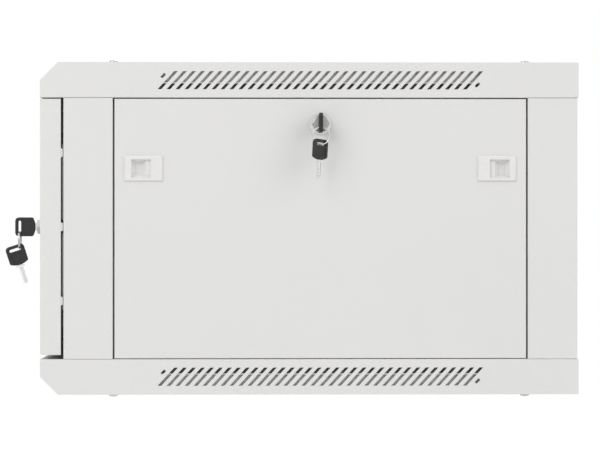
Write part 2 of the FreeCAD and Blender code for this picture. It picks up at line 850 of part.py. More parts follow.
def cover_bolts():
    """Place the eight domed bolts that hold the covers to the side frames."""
    bolts = []
    for level_name, level in LEVELS.items():
        rotation = FreeCAD.Rotation() if level > 0 else FreeCAD.Rotation(FreeCAD.Vector(1, 0, 0), 180)
        for side_name, side in SIDES.items():
            for end, reach in (("front", "bolt_front"), ("rear", "bolt_rear")):
                name = "_".join((level_name, side_name, end, "cover_bolt"))
                spots = ("%d * (half_width - bolt_inset)" % side, "-" + reach, "%d * half_height" % level)
                bolts.append(dome_bolt(name, spots, rotation, "bolt_radius", "bolt_head_radius",
                                       "bolt_head", "bolt_length"))
    return group("cover_bolts", bolts)


def back_panel_screws():
    """Place the screws that hold the back panel to the rear columns, heads inside."""
    rotation = FreeCAD.Rotation(FreeCAD.Vector(1, 0, 0), 90)
    screws = []
    for side_name, side in SIDES.items():
        for step in (-2, -1, 1, 2):
            name = "%s_back_screw_%d" % (side_name, step + 3)
            spots = ("%d * back_screw_x" % side, "rear_column_back_y - sheet", "%d * back_screw_z" % step)
            screws.append(dome_bolt(name, spots, rotation, "back_screw_radius", "2 * back_screw_radius",
                                    "1.2 * back_screw_radius", "2 * sheet"))
    return group("back_panel_screws", screws)


def rail_bolts():
    """Place the bolts that hold the rack rails to their supports, heads inside."""
    bolts = []
    for side_name, side in SIDES.items():
        rotation = FreeCAD.Rotation(FreeCAD.Vector(0, 1, 0), -90 * side)
        for end, face_y in ((-1, "-depth + rack_front_setback"), (1, "-rack_rear_setback")):
            for level_name, level in LEVELS.items():
                name = "%s_%s_rail_bolt_%s" % (side_name, level_name, "front" if end < 0 else "rear")
                along, up = rail_bolt_spot(face_y, end, level)
                spots = ("%d * (rack_web_x - rack_sheet)" % side, along, up)
                bolts.append(dome_bolt(name, spots, rotation, "rail_bolt_radius", "1.7 * rail_bolt_radius",
                                       "0.9 * rail_bolt_radius", "4 * rack_sheet"))
    return group("rail_bolts", bolts)


def earth_stud():
    """Turn the earthing stud that stands inside on the right rear column's border."""
    body = turned("earth_stud", "XZ", [
        ("0", "0"),
        ("1.6 * stud_radius", "0"),
        ("1.6 * stud_radius", "stud_long / 4"),
        ("stud_radius", "stud_long / 4"),
        ("stud_radius", "stud_long"),
        ("0", "stud_long"),
    ], "V_Axis")
    spots = ("back_screw_x", "rear_column_back_y - sheet - seat / 3", "0")
    place(body, spots, FreeCAD.Rotation(FreeCAD.Vector(1, 0, 0), 90))
    return body


def door_frame():
    """Fold the door: face with its window, four side flanges and the return round the back."""
    body = new_body("door_frame")
    mid = "door_mid_z"
    half = "(door_top_z - door_foot_z) / 2"
    face = sketch_on(body, "XZ", "depth - sheet")
    rectangle(face, "-door_x", "door_x", "door_foot_z", "door_top_z")
    rectangle(face, "-window_x", "window_x", mid + " - window_half_z", mid + " + window_half_z")
    circle(face, ("door_lock_x", mid), "barrel_radius + fit / 2")
    extrude(body, "Pad", face, "sheet")
    for inset, start, length in (("sheet", "-door_back_y", "door_thick - sheet / 2"),
                                 ("door_return", "-door_back_y", "sheet")):
        wall = sketch_on(body, "XZ", start)
        rectangle(wall, "-door_x", "door_x", "door_foot_z", "door_top_z")
        rectangle(wall, "-door_x + " + inset, "door_x - " + inset,
                  mid + " - %s + %s" % (half, inset), mid + " + %s - %s" % (half, inset))
        extrude(body, "Pad", wall, length)
    front = ("y", "-depth")
    edges = (("x", "-door_x"), ("x", "door_x"), ("z", "door_foot_z"), ("z", "door_top_z"))
    round_bends(body, [(front, edge) for edge in edges])
    add_hinge_brackets(body)
    return body


def add_hinge_brackets(body):
    """Add the two brackets that guide the hinge pins and bore both them and the flanges."""
    reach_x = ("-door_x", "hinge_x + 3 * hinge_radius")
    reach_y = ("-depth", "hinge_y + 3 * hinge_radius")
    for low in ("door_top_z - hinge_bracket", "door_foot_z + hinge_bracket - sheet"):
        block(body, "Pad", reach_x, reach_y, (low, low + " + sheet"))
    bore = sketch_on(body, "XY", "door_foot_z - sheet")
    circle(bore, ("hinge_x", "hinge_y"), "hinge_radius + plug_fit")
    extrude(body, "Pocket", bore, "door_top_z - door_foot_z + 2 * sheet", reverse=True)


def hinge_pin(name, length, tip_z, level):
    """Turn a hinge pin with a round-edged nose and the finger knob that draws it back."""
    body = turned(name, "XZ", [
        ("0", "0"),
        ("1.8 * hinge_radius", "0"),
        ("1.8 * hinge_radius", "knob"),
        ("hinge_radius", "knob"),
        ("hinge_radius", length + " - hinge_radius / 2"),
        ("hinge_radius / 2", length),
        ("0", length),
    ], "V_Axis")
    foot = "%s - %d * %s" % (tip_z, level, length)
    rotation = FreeCAD.Rotation() if level > 0 else FreeCAD.Rotation(FreeCAD.Vector(1, 0, 0), 180)
    place(body, ("hinge_x", "hinge_y", foot), rotation)
    return body


def door_glass():
    """Make the safety glass pane behind the door's face."""
    body = new_body("door_glass")
    pane = sketch_on(body, "XZ", "-glass_front_y - glass")
    x = "window_x + glass_overlap"
    z = "window_half_z + glass_overlap"
    rectangle(pane, "-(%s)" % x, x, "door_mid_z - (%s)" % z, "door_mid_z + " + z)
    extrude(body, "Pad", pane, "glass")
    return body


def glass_gasket():
    """Make the bonding tape between the door's face and the glass."""
    body = new_body("glass_gasket")
    tape = sketch_on(body, "XZ", "depth - sheet - gasket")
    for reach in ("glass_overlap", "seat"):
        x = "window_x + " + reach
        z = "window_half_z + " + reach
        rectangle(tape, "-(%s)" % x, x, "door_mid_z - (%s)" % z, "door_mid_z + " + z)
    extrude(body, "Pad", tape, "gasket")
    return body


def door_buffers():
    """Make the three tapered plastic buffers on the lock side of the door's rear edge."""
    buffers = []
    for step in (-1, 0, 1):
        body = new_body("door_buffer_%d" % (step + 2))
        foot = sketch_on(body, "XZ", "0")
        rectangle(foot, "-buffer_wide / 2", "buffer_wide / 2", "-buffer_tall / 2", "buffer_tall / 2")
        pad = extrude(body, "Pad", foot, "buffer_thick", reverse=True)
        pad.TaperAngle = BUFFER_DRAFT
        spot_z = "door_mid_z + %d * buffer_spacing" % step
        place(body, ("door_x - buffer_wide / 2 - seat", "door_back_y", spot_z))
        buffers.append(body)
    return group("door_buffers", buffers)


def lock_body(name, spots, rotation):
    """Turn a cam lock's housing: flange, hexagonal head, flatted barrel and through bore."""
    body = new_body(name)
    turned(name, "XZ", [
        ("0", "-barrel"),
        ("barrel_radius", "-barrel"),
        ("barrel_radius", "0"),
        ("lock_flange_radius", "0"),
        ("lock_flange_radius", "lock_flange / 2"),
        ("lock_flange_radius - lock_flange / 2", "lock_flange"),
        ("0", "lock_flange"),
    ], "V_Axis", body)
    head = sketch_on(body, "XY", "lock_flange")
    hexagon(head, "lock_head_radius")
    extrude(body, "Pad", head, "lock_head - lock_flange").TaperAngle = LOCK_HEAD_DRAFT
    bore = sketch_on(body, "XY", "-barrel")
    circle(bore, ("0", "0"), "plug_radius + plug_fit")
    extrude(body, "Pocket", bore, "barrel + lock_head", reverse=True)
    flats = sketch_on(body, "XY", "-barrel")
    for side in SIDES.values():
        rectangle(flats, "%d * barrel_flat" % side, "%d * (barrel_radius + 1)" % side,
                  "-barrel_radius", "barrel_radius")
    extrude(body, "Pocket", flats, "barrel - nut_thick - sheet - 2 * seat", reverse=True)
    place(body, spots, rotation)
    return body


def lock_nut(name, spots, rotation):
    """Make the hexagonal nut that clamps a cam lock to its panel from behind."""
    body = new_body(name)
    ring = sketch_on(body, "XY", "-sheet - seat / 3 - nut_thick")
    hexagon(ring, "nut_radius")
    circle(ring, ("0", "0"), "barrel_radius + fit / 2")
    extrude(body, "Pad", ring, "nut_thick")
    place(body, spots, rotation)
    return body


def lock_plug(name, spots, rotation):
    """Turn a lock's plug with its keyway and the square tail that carries the cam."""
    body = new_body(name)
    turned(name, "XZ", [
        ("0", "-barrel - seat"),
        ("plug_radius", "-barrel - seat"),
        ("plug_radius", "lock_head - seat"),
        ("0", "lock_head - seat"),
    ], "V_Axis", body)
    tail = sketch_on(body, "XY", "-barrel - seat - plug_tail_length")
    rectangle(tail, "-plug_tail / 2", "plug_tail / 2", "-plug_tail / 2", "plug_tail / 2")
    extrude(body, "Pad", tail, "plug_tail_length + seat")
    keyway = sketch_on(body, "XY", "lock_head - blade - seat")
    rectangle(keyway, "-blade_thick / 2 - key_fit", "blade_thick / 2 + key_fit",
              "-blade_wide / 2 - key_fit", "blade_wide / 2 + key_fit")
    extrude(body, "Pocket", keyway, "blade + 2 * seat", reverse=True)
    place(body, spots, rotation)
    return body


def lock_cam(name, spots, rotation, reach, crank, heading):
    """Bend a lock's cam and fit its clamping screw, pointing along a heading about the axis."""
    body = new_body(name)
    low = "cam_z - cam_thick"
    profile = sketch_on(body, "XZ")
    if crank:
        outline(profile, [
            ("-cam_wide / 2", low),
            ("cam_step", low),
            ("cam_step", "cam_z + cam_crank - cam_thick"),
            (reach, "cam_z + cam_crank - cam_thick"),
            (reach, "cam_z + cam_crank"),
            ("cam_step - cam_thick", "cam_z + cam_crank"),
            ("cam_step - cam_thick", "cam_z"),
            ("-cam_wide / 2", "cam_z"),
        ])
    else:
        outline(profile, [
            ("-cam_wide / 2", low),
            (reach, low),
            (reach, "cam_z"),
            ("-cam_wide / 2", "cam_z"),
        ])
    extrude(body, "Pad", profile, "cam_wide", symmetric=True)
    eye = sketch_on(body, "XY", low)
    rectangle(eye, "-plug_tail / 2 - key_fit", "plug_tail / 2 + key_fit",
              "-plug_tail / 2 - key_fit", "plug_tail / 2 + key_fit")
    extrude(body, "Pocket", eye, "2 * cam_thick", reverse=True)
    nut = sketch_on(body, "XY", low + " - cam_nut")
    hexagon(nut, "cam_nut_radius")
    circle(nut, ("0", "0"), "plug_tail / sqrt(2) + key_fit")
    extrude(body, "Pad", nut, "cam_nut")
    place(body, spots, rotation.multiply(FreeCAD.Rotation(UP, heading)))
    return body


def key_bow(name):
    """Mould a key's bow: flat end with round corners, bowed inner end, ring slot, thumb fields."""
    body = new_body(name)
    plate = sketch_on(body, "YZ", "-bow_thick / 2")
    side = "bow_wide / 2"
    outline(plate, [
        ("-" + side, "key_out + bow_sag * 1.5"),
        ("-%s * 0.93" % side, "key_out + bow_sag * 0.95"),
        ("-%s * 0.55" % side, "key_out + bow_sag * 0.3"),
        ("-%s * 0.2" % side, "key_out"),
        ("%s * 0.2" % side, "key_out"),
        ("%s * 0.55" % side, "key_out + bow_sag * 0.3"),
        ("%s * 0.93" % side, "key_out + bow_sag * 0.95"),
        (side, "key_out + bow_sag * 1.5"),
        (side, "bow_end - bow_corner"),
        ("%s - bow_corner * 0.3" % side, "bow_end - bow_corner * 0.3"),
        ("%s - bow_corner" % side, "bow_end"),
        ("-%s + bow_corner" % side, "bow_end"),
        ("-%s + bow_corner * 0.3" % side, "bow_end - bow_corner * 0.3"),
        ("-" + side, "bow_end - bow_corner"),
    ])
    pad = extrude(body, "Pad", plate, "bow_thick")
    doc.recompute()
    soft = body.newObject("PartDesign::Fillet", name + "_soft")
    soft.Base = (pad, rim_edges(pad.Shape))
    soft.setExpression("Radius", fx("bow_round"))
    eye = sketch_on(body, "YZ", "-bow_thick")
    capsule(eye, ("-slot_centre", "slot_mid"), ("slot_centre", "slot_mid"), "bow_slot_wide / 2")
    cut = extrude(body, "Pocket", eye, "2 * bow_thick", reverse=True)
    doc.recompute()
    bevel = body.newObject("PartDesign::Chamfer", name + "_bevel")
    bevel.Base = (cut, slot_edges(cut.Shape))
    bevel.setExpression("Size", fx("bow_slot_bevel"))
    for start in ("-bow_thick / 2", "bow_thick / 2 - bow_recess"):
        thumb = sketch_on(body, "YZ", start)
        rectangle(thumb, "-thumb_wide / 2", "thumb_wide / 2", "key_out + thumb_foot",
                  "slot_mid - thumb_head")
        extrude(body, "Pocket", thumb, "bow_recess", reverse=True)
    block(body, "Pocket", ("-blade_thick / 2 - key_fit", "blade_thick / 2 + key_fit"),
          ("-blade_wide / 2 - key_fit", "blade_wide / 2 + key_fit"),
          ("key_out - 1", "key_out + tang + key_fit"))
    return body


def rim_edges(shape):
    """Name the edges that lie in the two broad faces of a bow."""
    reach = value("bow_thick / 2")
    names = []
    for index, edge in enumerate(shape.Edges, start=1):
        flat = edge.BoundBox.XLength < NEAR
        if flat and abs(abs(edge.BoundBox.XMin) - reach) < NEAR:
            names.append("Edge%d" % index)
    return names


def slot_edges(shape):
    """Name the edges of a bow's broad faces that belong to its ring slot."""
    across = value("bow_slot / 2") + NEAR
    low = value("slot_mid - bow_slot_wide / 2") - NEAR
    high = value("slot_mid + bow_slot_wide / 2") + NEAR
    names = []
    for name in rim_edges(shape):
        box = shape.getElement(name).BoundBox
        if box.YMax < across and box.YMin > -across and box.ZMin > low and box.ZMax < high:
            names.append(name)
    return names


def key_blade(name):
    """Cut a key's steel: tang inside the bow, shoulder, and a blade notched along one edge."""
    body = new_body(name)
    steel = sketch_on(body, "YZ", "-blade_thick / 2")
    half = "blade_wide / 2"
    tip = "lock_head - blade"
    spots = [
        ("-" + half, "key_out + tang"),
        ("-" + half, "key_out"),
        ("-shoulder_wide / 2", "key_out - seat"),
        ("-shoulder_wide / 2", "lock_head + seat / 3"),
        ("-" + half, "lock_head + seat / 3"),
    ]
    for notch, depth in enumerate(NOTCH_DEPTHS):
        middle = "lock_head - notch_first - %d * notch_step" % notch
        floor = "-%s * %.2f" % (half, 1 - depth)
        spots.append(("-" + half, middle + " + notch_mouth / 2"))
        spots.append((floor, middle + " + notch_floor / 2"))
        spots.append((floor, middle + " - notch_floor / 2"))
        spots.append(("-" + half, middle + " - notch_mouth / 2"))
    spots += [
        ("-" + half, tip + " + blade_point"),
        ("0", tip),
        (half, tip + " + blade_point"),
        (half, "lock_head + seat / 3"),
        ("shoulder_wide / 2", "lock_head + seat / 3"),
        ("shoulder_wide / 2", "key_out - seat"),
        (half, "key_out"),
        (half, "key_out + tang"),
    ]
    outline(steel, spots)
    extrude(body, "Pad", steel, "blade_thick")
    for face in ("-blade_thick / 2", "blade_thick / 2 - key_groove_deep"):
        groove = sketch_on(body, "YZ", face)
        rectangle(groove, "key_groove_in", "key_groove_in + key_groove",
                  tip + " + 2 * key_groove", "lock_head - seat")
        extrude(body, "Pocket", groove, "key_groove_deep", reverse=True)
    return body


def key_ring(name, spots, rotation):
    """Wind a split ring as two turns of wire side by side, in the plane across local Z."""
    turns = []
    for index, turn in enumerate((-1, 1)):
        torus = doc.addObject("Part::Torus", "%s_turn_%d" % (name, index + 1))
        torus.setExpression("Radius1", fx("ring_radius"))
        torus.setExpression("Radius2", fx("ring_wire"))
        torus.setExpression("Placement.Base.z", fx("%d * ring_turn / 2" % turn))
        turns.append(torus)
    ring = doc.addObject("Part::MultiFuse", name)
    ring.Label = name
    ring.Shapes = turns
    nodes.append(ring)
    place(ring, spots, rotation)
    return ring


def lock_set(prefix, spots, outward, reach, crank, heading, keys):
    """Build a cam lock with its cam and, where it has them, its key, ring and spare key."""
    rotation = facing(outward)
    lock_body(prefix + "_lock_body", spots, rotation)
    lock_nut(prefix + "_lock_nut", spots, rotation)
    lock_plug(prefix + "_lock_plug", spots, rotation)
    lock_cam(prefix + "_lock_cam", spots, facing(outward), reach, crank, heading)
    if not keys:
        return
    for piece in (key_blade(prefix + "_key_blade"), key_bow(prefix + "_key_bow")):
        place(piece, spots, rotation)
    ring_spots = hung_spots(spots, outward, "slot_mid", "-bar_mid - ring_hang")
    key_ring(prefix + "_key_ring", ring_spots, rotation)


def hung_spots(spots, outward, out, up):
    """Return a place given by a distance outward from a lock and a height from its axis."""
    return (
        "%s + %d * (%s)" % (spots[0], round(outward.x), out),
        "%s + %d * (%s)" % (spots[1], round(outward.y), out),
        "%s + (%s)" % (spots[2], up),
    )


def spare_key(prefix, spots, rotation, slot_shift, slot_drop):
    """Hang the spare key with its slot on the ring's lowest point."""
    for piece in (key_blade(prefix + "_spare_blade"), key_bow(prefix + "_spare_bow")):
        hook = FreeCAD.Vector(0, value(slot_shift), value("slot_mid - (%s)" % slot_drop))
        offset = rotation.multVec(hook)
        base = [value(spot) for spot in spots]
        piece.Placement = FreeCAD.Placement(FreeCAD.Vector(*base) - offset, rotation)
        for axis, spot in zip("xyz", spots):
            across = rotation.multVec(FreeCAD.Vector(0, 1, 0))
            along = rotation.multVec(UP)
            formula = "%s - %.8f * (%s) - %.8f * (slot_mid - (%s))" % (
                spot, getattr(across, axis), slot_shift, getattr(along, axis), slot_drop)
            piece.setExpression("Placement.Base." + axis, fx(formula))


def side_panel(name, side):
    """Fold a side panel: skin, four flanges, hooks and feet below, holes for lock and latches."""
    body = new_body(name)

    def x(formula):
        return "%d * (%s)" % (side, formula)

    front = "opening_mid_y - panel_half"
    back = "opening_mid_y + panel_half"
    skin = sketch_on(body, "YZ", "skin" if side > 0 else "-half_width")
    rectangle(skin, front, back, "panel_foot_z", "panel_top_z")
    circle(skin, ("opening_mid_y", "panel_lock_z"), "barrel_radius + fit / 2")
    for end in ENDS.values():
        middle = latch_y(end)
        long = "housing_long / 2 + fit"
        tall = "housing_tall / 2 + fit"
        rectangle(skin, "%s - (%s)" % (middle, long), "%s + (%s)" % (middle, long),
                  "latch_z - (%s)" % tall, "latch_z + " + tall)
    extrude(body, "Pad", skin, "sheet")
    walls = sketch_on(body, "YZ", "half_width - panel_flange" if side > 0 else "-half_width")
    rectangle(walls, front, back, "panel_foot_z", "panel_top_z")
    rectangle(walls, front + " + sheet", back + " - sheet", "panel_foot_z + sheet", "panel_top_z - sheet")
    extrude(body, "Pad", walls, "panel_flange")
    face = ("x", x("half_width"))
    edges = (("y", front), ("y", back), ("z", "panel_foot_z"), ("z", "panel_top_z"))
    round_bends(body, [(face, edge) for edge in edges])
    for end in ENDS.values():
        middle = "opening_mid_y + %d * hook_offset" % end
        wide = (middle + " - hook_wide / 2", middle + " + hook_wide / 2")
        block(body, "Pad", (x("skin - 2 * sheet"), x("skin - sheet")), wide,
              ("panel_foot_z - hook_long", "panel_foot_z + sheet / 2"))
        foot = "opening_mid_y + %d * (hook_offset - 4 * foot_wide)" % end
        block(body, "Pad", (x("half_width - panel_flange + sheet"), x("skin - 2 * sheet")),
              (foot + " - foot_wide", foot + " + foot_wide"),
              ("-skirt_z + seat", "panel_foot_z + sheet / 2"))
    return body


def latch_y(end):
    """Return the middle of the front or rear slide latch along the panel."""
    return "opening_mid_y + %d * (panel_half - latch_inset)" % end


def latch_bezel(name):
    """Mould a latch's bezel and housing about its own centre, its window towards local -X."""
    body = new_body(name)
    step = sketch_on(body, "XY", "0")
    rectangle(step, "-bezel_long / 2", "bezel_long / 2", "-bezel_tall / 2", "bezel_tall / 2")
    pad = extrude(body, "Pad", step, "bezel_proud")
    doc.recompute()
    top = value("bezel_proud")
    rims = []
    for index, edge in enumerate(pad.Shape.Edges, start=1):
        if edge.BoundBox.ZMin > top - NEAR:
            rims.append("Edge%d" % index)
    soft = body.newObject("PartDesign::Chamfer", name + "_bevel")
    soft.Base = (pad, rims)
    soft.setExpression("Size", fx("bezel_slope"))
    box = sketch_on(body, "XY", "-housing_deep")
    rectangle(box, "-housing_long / 2", "housing_long / 2", "-housing_tall / 2", "housing_tall / 2")
    extrude(body, "Pad", box, "housing_deep + bezel_proud / 4")
    hollow = sketch_on(body, "XY", "-housing_deep - 1")
    long = "housing_long / 2 - housing_wall"
    tall = "housing_tall / 2 - housing_wall"
    rectangle(hollow, "-(%s)" % long, long, "-(%s)" % tall, tall)
    extrude(body, "Pocket", hollow, "housing_deep + 1 + slider_top + latch_fit", reverse=True)
    window = sketch_on(body, "XY", "-1")
    rectangle(window, "-window_shift - window_long / 2", "-window_shift + window_long / 2",
              "-window_tall / 2", "window_tall / 2")
    extrude(body, "Pocket", window, "bezel_proud + 2", reverse=True)
    return body


def latch_slider(name):
    """Mould a latch's slider: cover plate, finger cup, keeper plate and tongue towards -X."""
    body = new_body(name)
    tall = "housing_tall / 2 - housing_wall - latch_fit"
    start = "-window_shift - window_long / 2"
    plate = sketch_on(body, "XY", "slider_top - slider_plate")
    rectangle(plate, start, start + " + slider_long", "-(%s)" % tall, tall)
    extrude(body, "Pad", plate, "slider_plate")
    cup = sketch_on(body, "XY", "slider_floor")
    rectangle(cup, start, start + " + cup_long + housing_wall", "-(%s)" % tall, tall)
    extrude(body, "Pad", cup, "slider_top - slider_floor")
    tongue = sketch_on(body, "XY", "tongue_top - tongue_thick")
    tip = "-latch_inset - panel_gap + tongue_gap"
    outline(tongue, [
        (tip, "-tongue_tall / 2"),
        (start + " - 2", "-tongue_tall / 2"),
        (start + " - 2", "-housing_tall / 2"),
        (start + " + slider_long", "-housing_tall / 2"),
        (start + " + slider_long", "housing_tall / 2"),
        (start + " - 2", "housing_tall / 2"),
        (start + " - 2", "tongue_tall / 2"),
        (tip, "tongue_tall / 2"),
    ])
    extrude(body, "Pad", tongue, "tongue_thick")
    join = sketch_on(body, "XY", "tongue_top - tongue_thick / 2")
    rectangle(join, start + " + 1", start + " + cup_long", "-(%s) + 1" % tall, tall + " - 1")
    extrude(body, "Pad", join, "slider_floor - tongue_top + tongue_thick / 2 + 1")
    mouth = cup_section(body, "slider_top", "cup_long", "window_tall - 2 * latch_fit", start)
    floor = cup_section(body, "slider_top - cup_deep", "cup_floor_long", "cup_floor_tall", start)
    hollow = body.newObject("PartDesign::SubtractiveLoft", name + "_cup")
    hollow.Profile = mouth
    hollow.Sections = [floor]
    return body


def cup_section(body, level, long, tall, start):
    """Draw one level of the finger cup, centred on the cup's mouth."""
    section = sketch_on(body, "XY", level)
    middle = start + " + cup_long / 2"
    rectangle(section, "%s - %s / 2" % (middle, long), "%s + %s / 2" % (middle, long),
              "-(%s) / 2" % tall, "(%s) / 2" % tall)
    section.Visibility = False
    return section


def slide_latches(side_name, side):
    """Place a panel's two latches, each with its tongue towards the nearer column."""
    outward = FreeCAD.Vector(side, 0, 0)
    bezels = []
    for end_name, end in ENDS.items():
        rotation = facing(outward)
        if end * side > 0:
            rotation = rotation.multiply(FreeCAD.Rotation(UP, 180))
        spots = ("%d * half_width" % side, latch_y(end), "latch_z")
        bezel = latch_bezel("%s_%s_bezel" % (side_name, end_name))
        slider = latch_slider("%s_%s_slider" % (side_name, end_name))
        for piece in (bezel, slider):
            place(piece, spots, rotation)
        bezels.append(bezel)
    group(side_name + "_latch_bezels", bezels)


def build_cabinet():
    """Build the fixed cabinet: covers, back panel, side frames, rack rails and fasteners."""
    cover("top_cover", 1)
    cover("bottom_cover", -1)
    back_panel()
    for side_name, side in SIDES.items():
        front_column(side_name + "_front_column", side)
        rear_column(side_name + "_rear_column", side)
        rails = [side_rail("%s_%s_side_rail" % (side_name, level_name), side, level)
                 for level_name, level in LEVELS.items()]
        group(side_name + "_side_rails", rails)
        for end_name, end in ENDS.items():
            rack_rail("%s_%s_rack_rail" % (side_name, end_name), side, end)
        for level_name, level in LEVELS.items():
            rail_support("%s_%s_rail_support" % (side_name, level_name), side, level)
    cable_cover("top_cable_cover", 1)
    cable_cover("bottom_cable_cover", -1)
    cover_bolts()
    back_panel_screws()
    rail_bolts()
    earth_stud()


def build_door():
    """Build the glass door with its hinge pins, buffers, lock, key, ring and spare key."""
    door_frame()
    door_glass()
    glass_gasket()
    door_buffers()
    hinge_pin("upper_hinge_pin", "upper_pin", "door_top_z + hinge_reach", 1)
    lower_tip = "door_foot_z - door_bottom_gap + door_top_gap - hinge_reach"
    hinge_pin("lower_hinge_pin", "lower_pin", lower_tip, -1)
    spots = ("door_lock_x", "-depth", "door_mid_z")
    outward = FreeCAD.Vector(0, -1, 0)
    lock_set("door", spots, outward, "door_cam_reach", False, -90, True)
    hang = hung_spots(spots, outward, "slot_mid", "-bar_mid - ring_hang - ring_radius")
    turn = FreeCAD.Rotation(FreeCAD.Vector(1, 0, 0), value("door_spare_swing"))
    spare_key("door", hang, turn, "slot_centre", "0")


def build_side(side_name, side):
    """Build one side panel with its lock and latches; only the right one holds keys."""
    side_panel(side_name + "_side_panel", side)
    spots = ("%d * half_width" % side, "opening_mid_y", "panel_lock_z")
    outward = FreeCAD.Vector(side, 0, 0)
    lock_set(side_name, spots, outward, "cam_reach", True, 0, side > 0)
    slide_latches(side_name, side)
    if side > 0:
        hang = hung_spots(spots, outward, "slot_mid", "-bar_mid - ring_hang - ring_radius")
        lean = FreeCAD.Rotation(FreeCAD.Vector(1, 0, 0), -value("side_spare_lean"))
        turn = FreeCAD.Rotation(UP, value("side_spare_turn")).multiply(lean)
        spare_key("right", hang, turn, "side_spare_shift", "side_spare_drop")


def check_and_export():
    """Check that every object and sub-part is sound, then write one file for each sub-part."""
    doc.recompute()
    for item in doc.Objects:
        faults = [state for state in item.State if state in ("Invalid", "Error")]
        if faults:
            raise RuntimeError("%s is %s" % (item.Name, faults))
    os.makedirs("parts", exist_ok=True)
    for node in nodes:
        shape = node.Shape
        if shape.isNull() or not shape.isValid() or not shape.Solids:
            raise RuntimeError("%s has no sound shape" % node.Label)
        shape.exportStep("parts/%s.step" % node.Label)
        print("%-26s solids %d volume %.1f" % (node.Label, len(shape.Solids), shape.Volume))
    print("%d sub-parts" % len(nodes))


fill_sheet()
build_cabinet()
build_door()
for panel_side, panel_sign in SIDES.items():
    build_side(panel_side, panel_sign)
check_and_export()
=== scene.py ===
"""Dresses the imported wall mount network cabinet, adds its small hardware and sets up its picture."""

from __future__ import annotations

import json
import logging
import math
from collections.abc import Iterable, Sequence
from dataclasses import dataclass, field
from enum import Enum

import bmesh
import bpy
from mathutils import Matrix, Vector

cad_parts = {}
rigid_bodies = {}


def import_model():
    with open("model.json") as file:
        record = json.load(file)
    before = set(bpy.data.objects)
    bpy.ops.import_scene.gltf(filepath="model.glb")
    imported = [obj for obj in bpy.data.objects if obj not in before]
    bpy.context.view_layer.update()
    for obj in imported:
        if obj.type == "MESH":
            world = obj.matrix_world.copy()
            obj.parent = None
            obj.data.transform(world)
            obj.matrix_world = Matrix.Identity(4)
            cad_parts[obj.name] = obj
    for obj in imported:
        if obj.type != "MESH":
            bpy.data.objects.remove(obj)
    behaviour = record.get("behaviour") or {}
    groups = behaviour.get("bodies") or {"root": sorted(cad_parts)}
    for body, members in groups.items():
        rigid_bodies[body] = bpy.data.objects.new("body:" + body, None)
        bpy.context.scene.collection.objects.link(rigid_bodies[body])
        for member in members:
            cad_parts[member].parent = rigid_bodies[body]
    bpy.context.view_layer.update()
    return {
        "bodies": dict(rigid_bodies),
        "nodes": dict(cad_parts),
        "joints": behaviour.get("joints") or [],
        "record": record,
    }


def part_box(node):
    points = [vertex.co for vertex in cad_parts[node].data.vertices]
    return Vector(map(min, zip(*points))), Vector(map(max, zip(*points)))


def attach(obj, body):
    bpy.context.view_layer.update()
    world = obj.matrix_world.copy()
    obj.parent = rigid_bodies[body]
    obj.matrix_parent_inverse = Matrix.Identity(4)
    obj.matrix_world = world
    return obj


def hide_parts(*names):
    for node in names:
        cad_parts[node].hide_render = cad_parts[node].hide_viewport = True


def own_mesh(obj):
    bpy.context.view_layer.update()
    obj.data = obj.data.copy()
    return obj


LOG = logging.getLogger("cabinet")
# The mix node's colour sockets share their names with its other ones, so they go by number.
MIX_COLOUR_A, MIX_COLOUR_B, MIX_COLOUR_RESULT = 6, 7, 2
WHITE = (1.0, 1.0, 1.0, 1.0)

Colour = tuple[float, float, float]
Point = tuple[float, float, float]
Spread = tuple[float, float]
Corner = tuple[float, float]
Profile = Sequence[Corner]

EVEN: Point = (1.0, 1.0, 1.0)


class Slot(Enum):
    """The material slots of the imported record, one for each real finish."""

    PAINT = "grey_paint"
    ZINC = "zinc_plated_steel"
    NICKEL = "bright_steel"
    CHROME = "chromed_zinc"
    BLACK_PLASTIC = "black_plastic"
    WHITE_PLASTIC = "white_plastic"
    GLASS = "safety_glass"
    TAPE = "black_tape"


class Side(Enum):
    """The two sides of the cabinet, seen from its front."""

    RIGHT = "right"
    LEFT = "left"


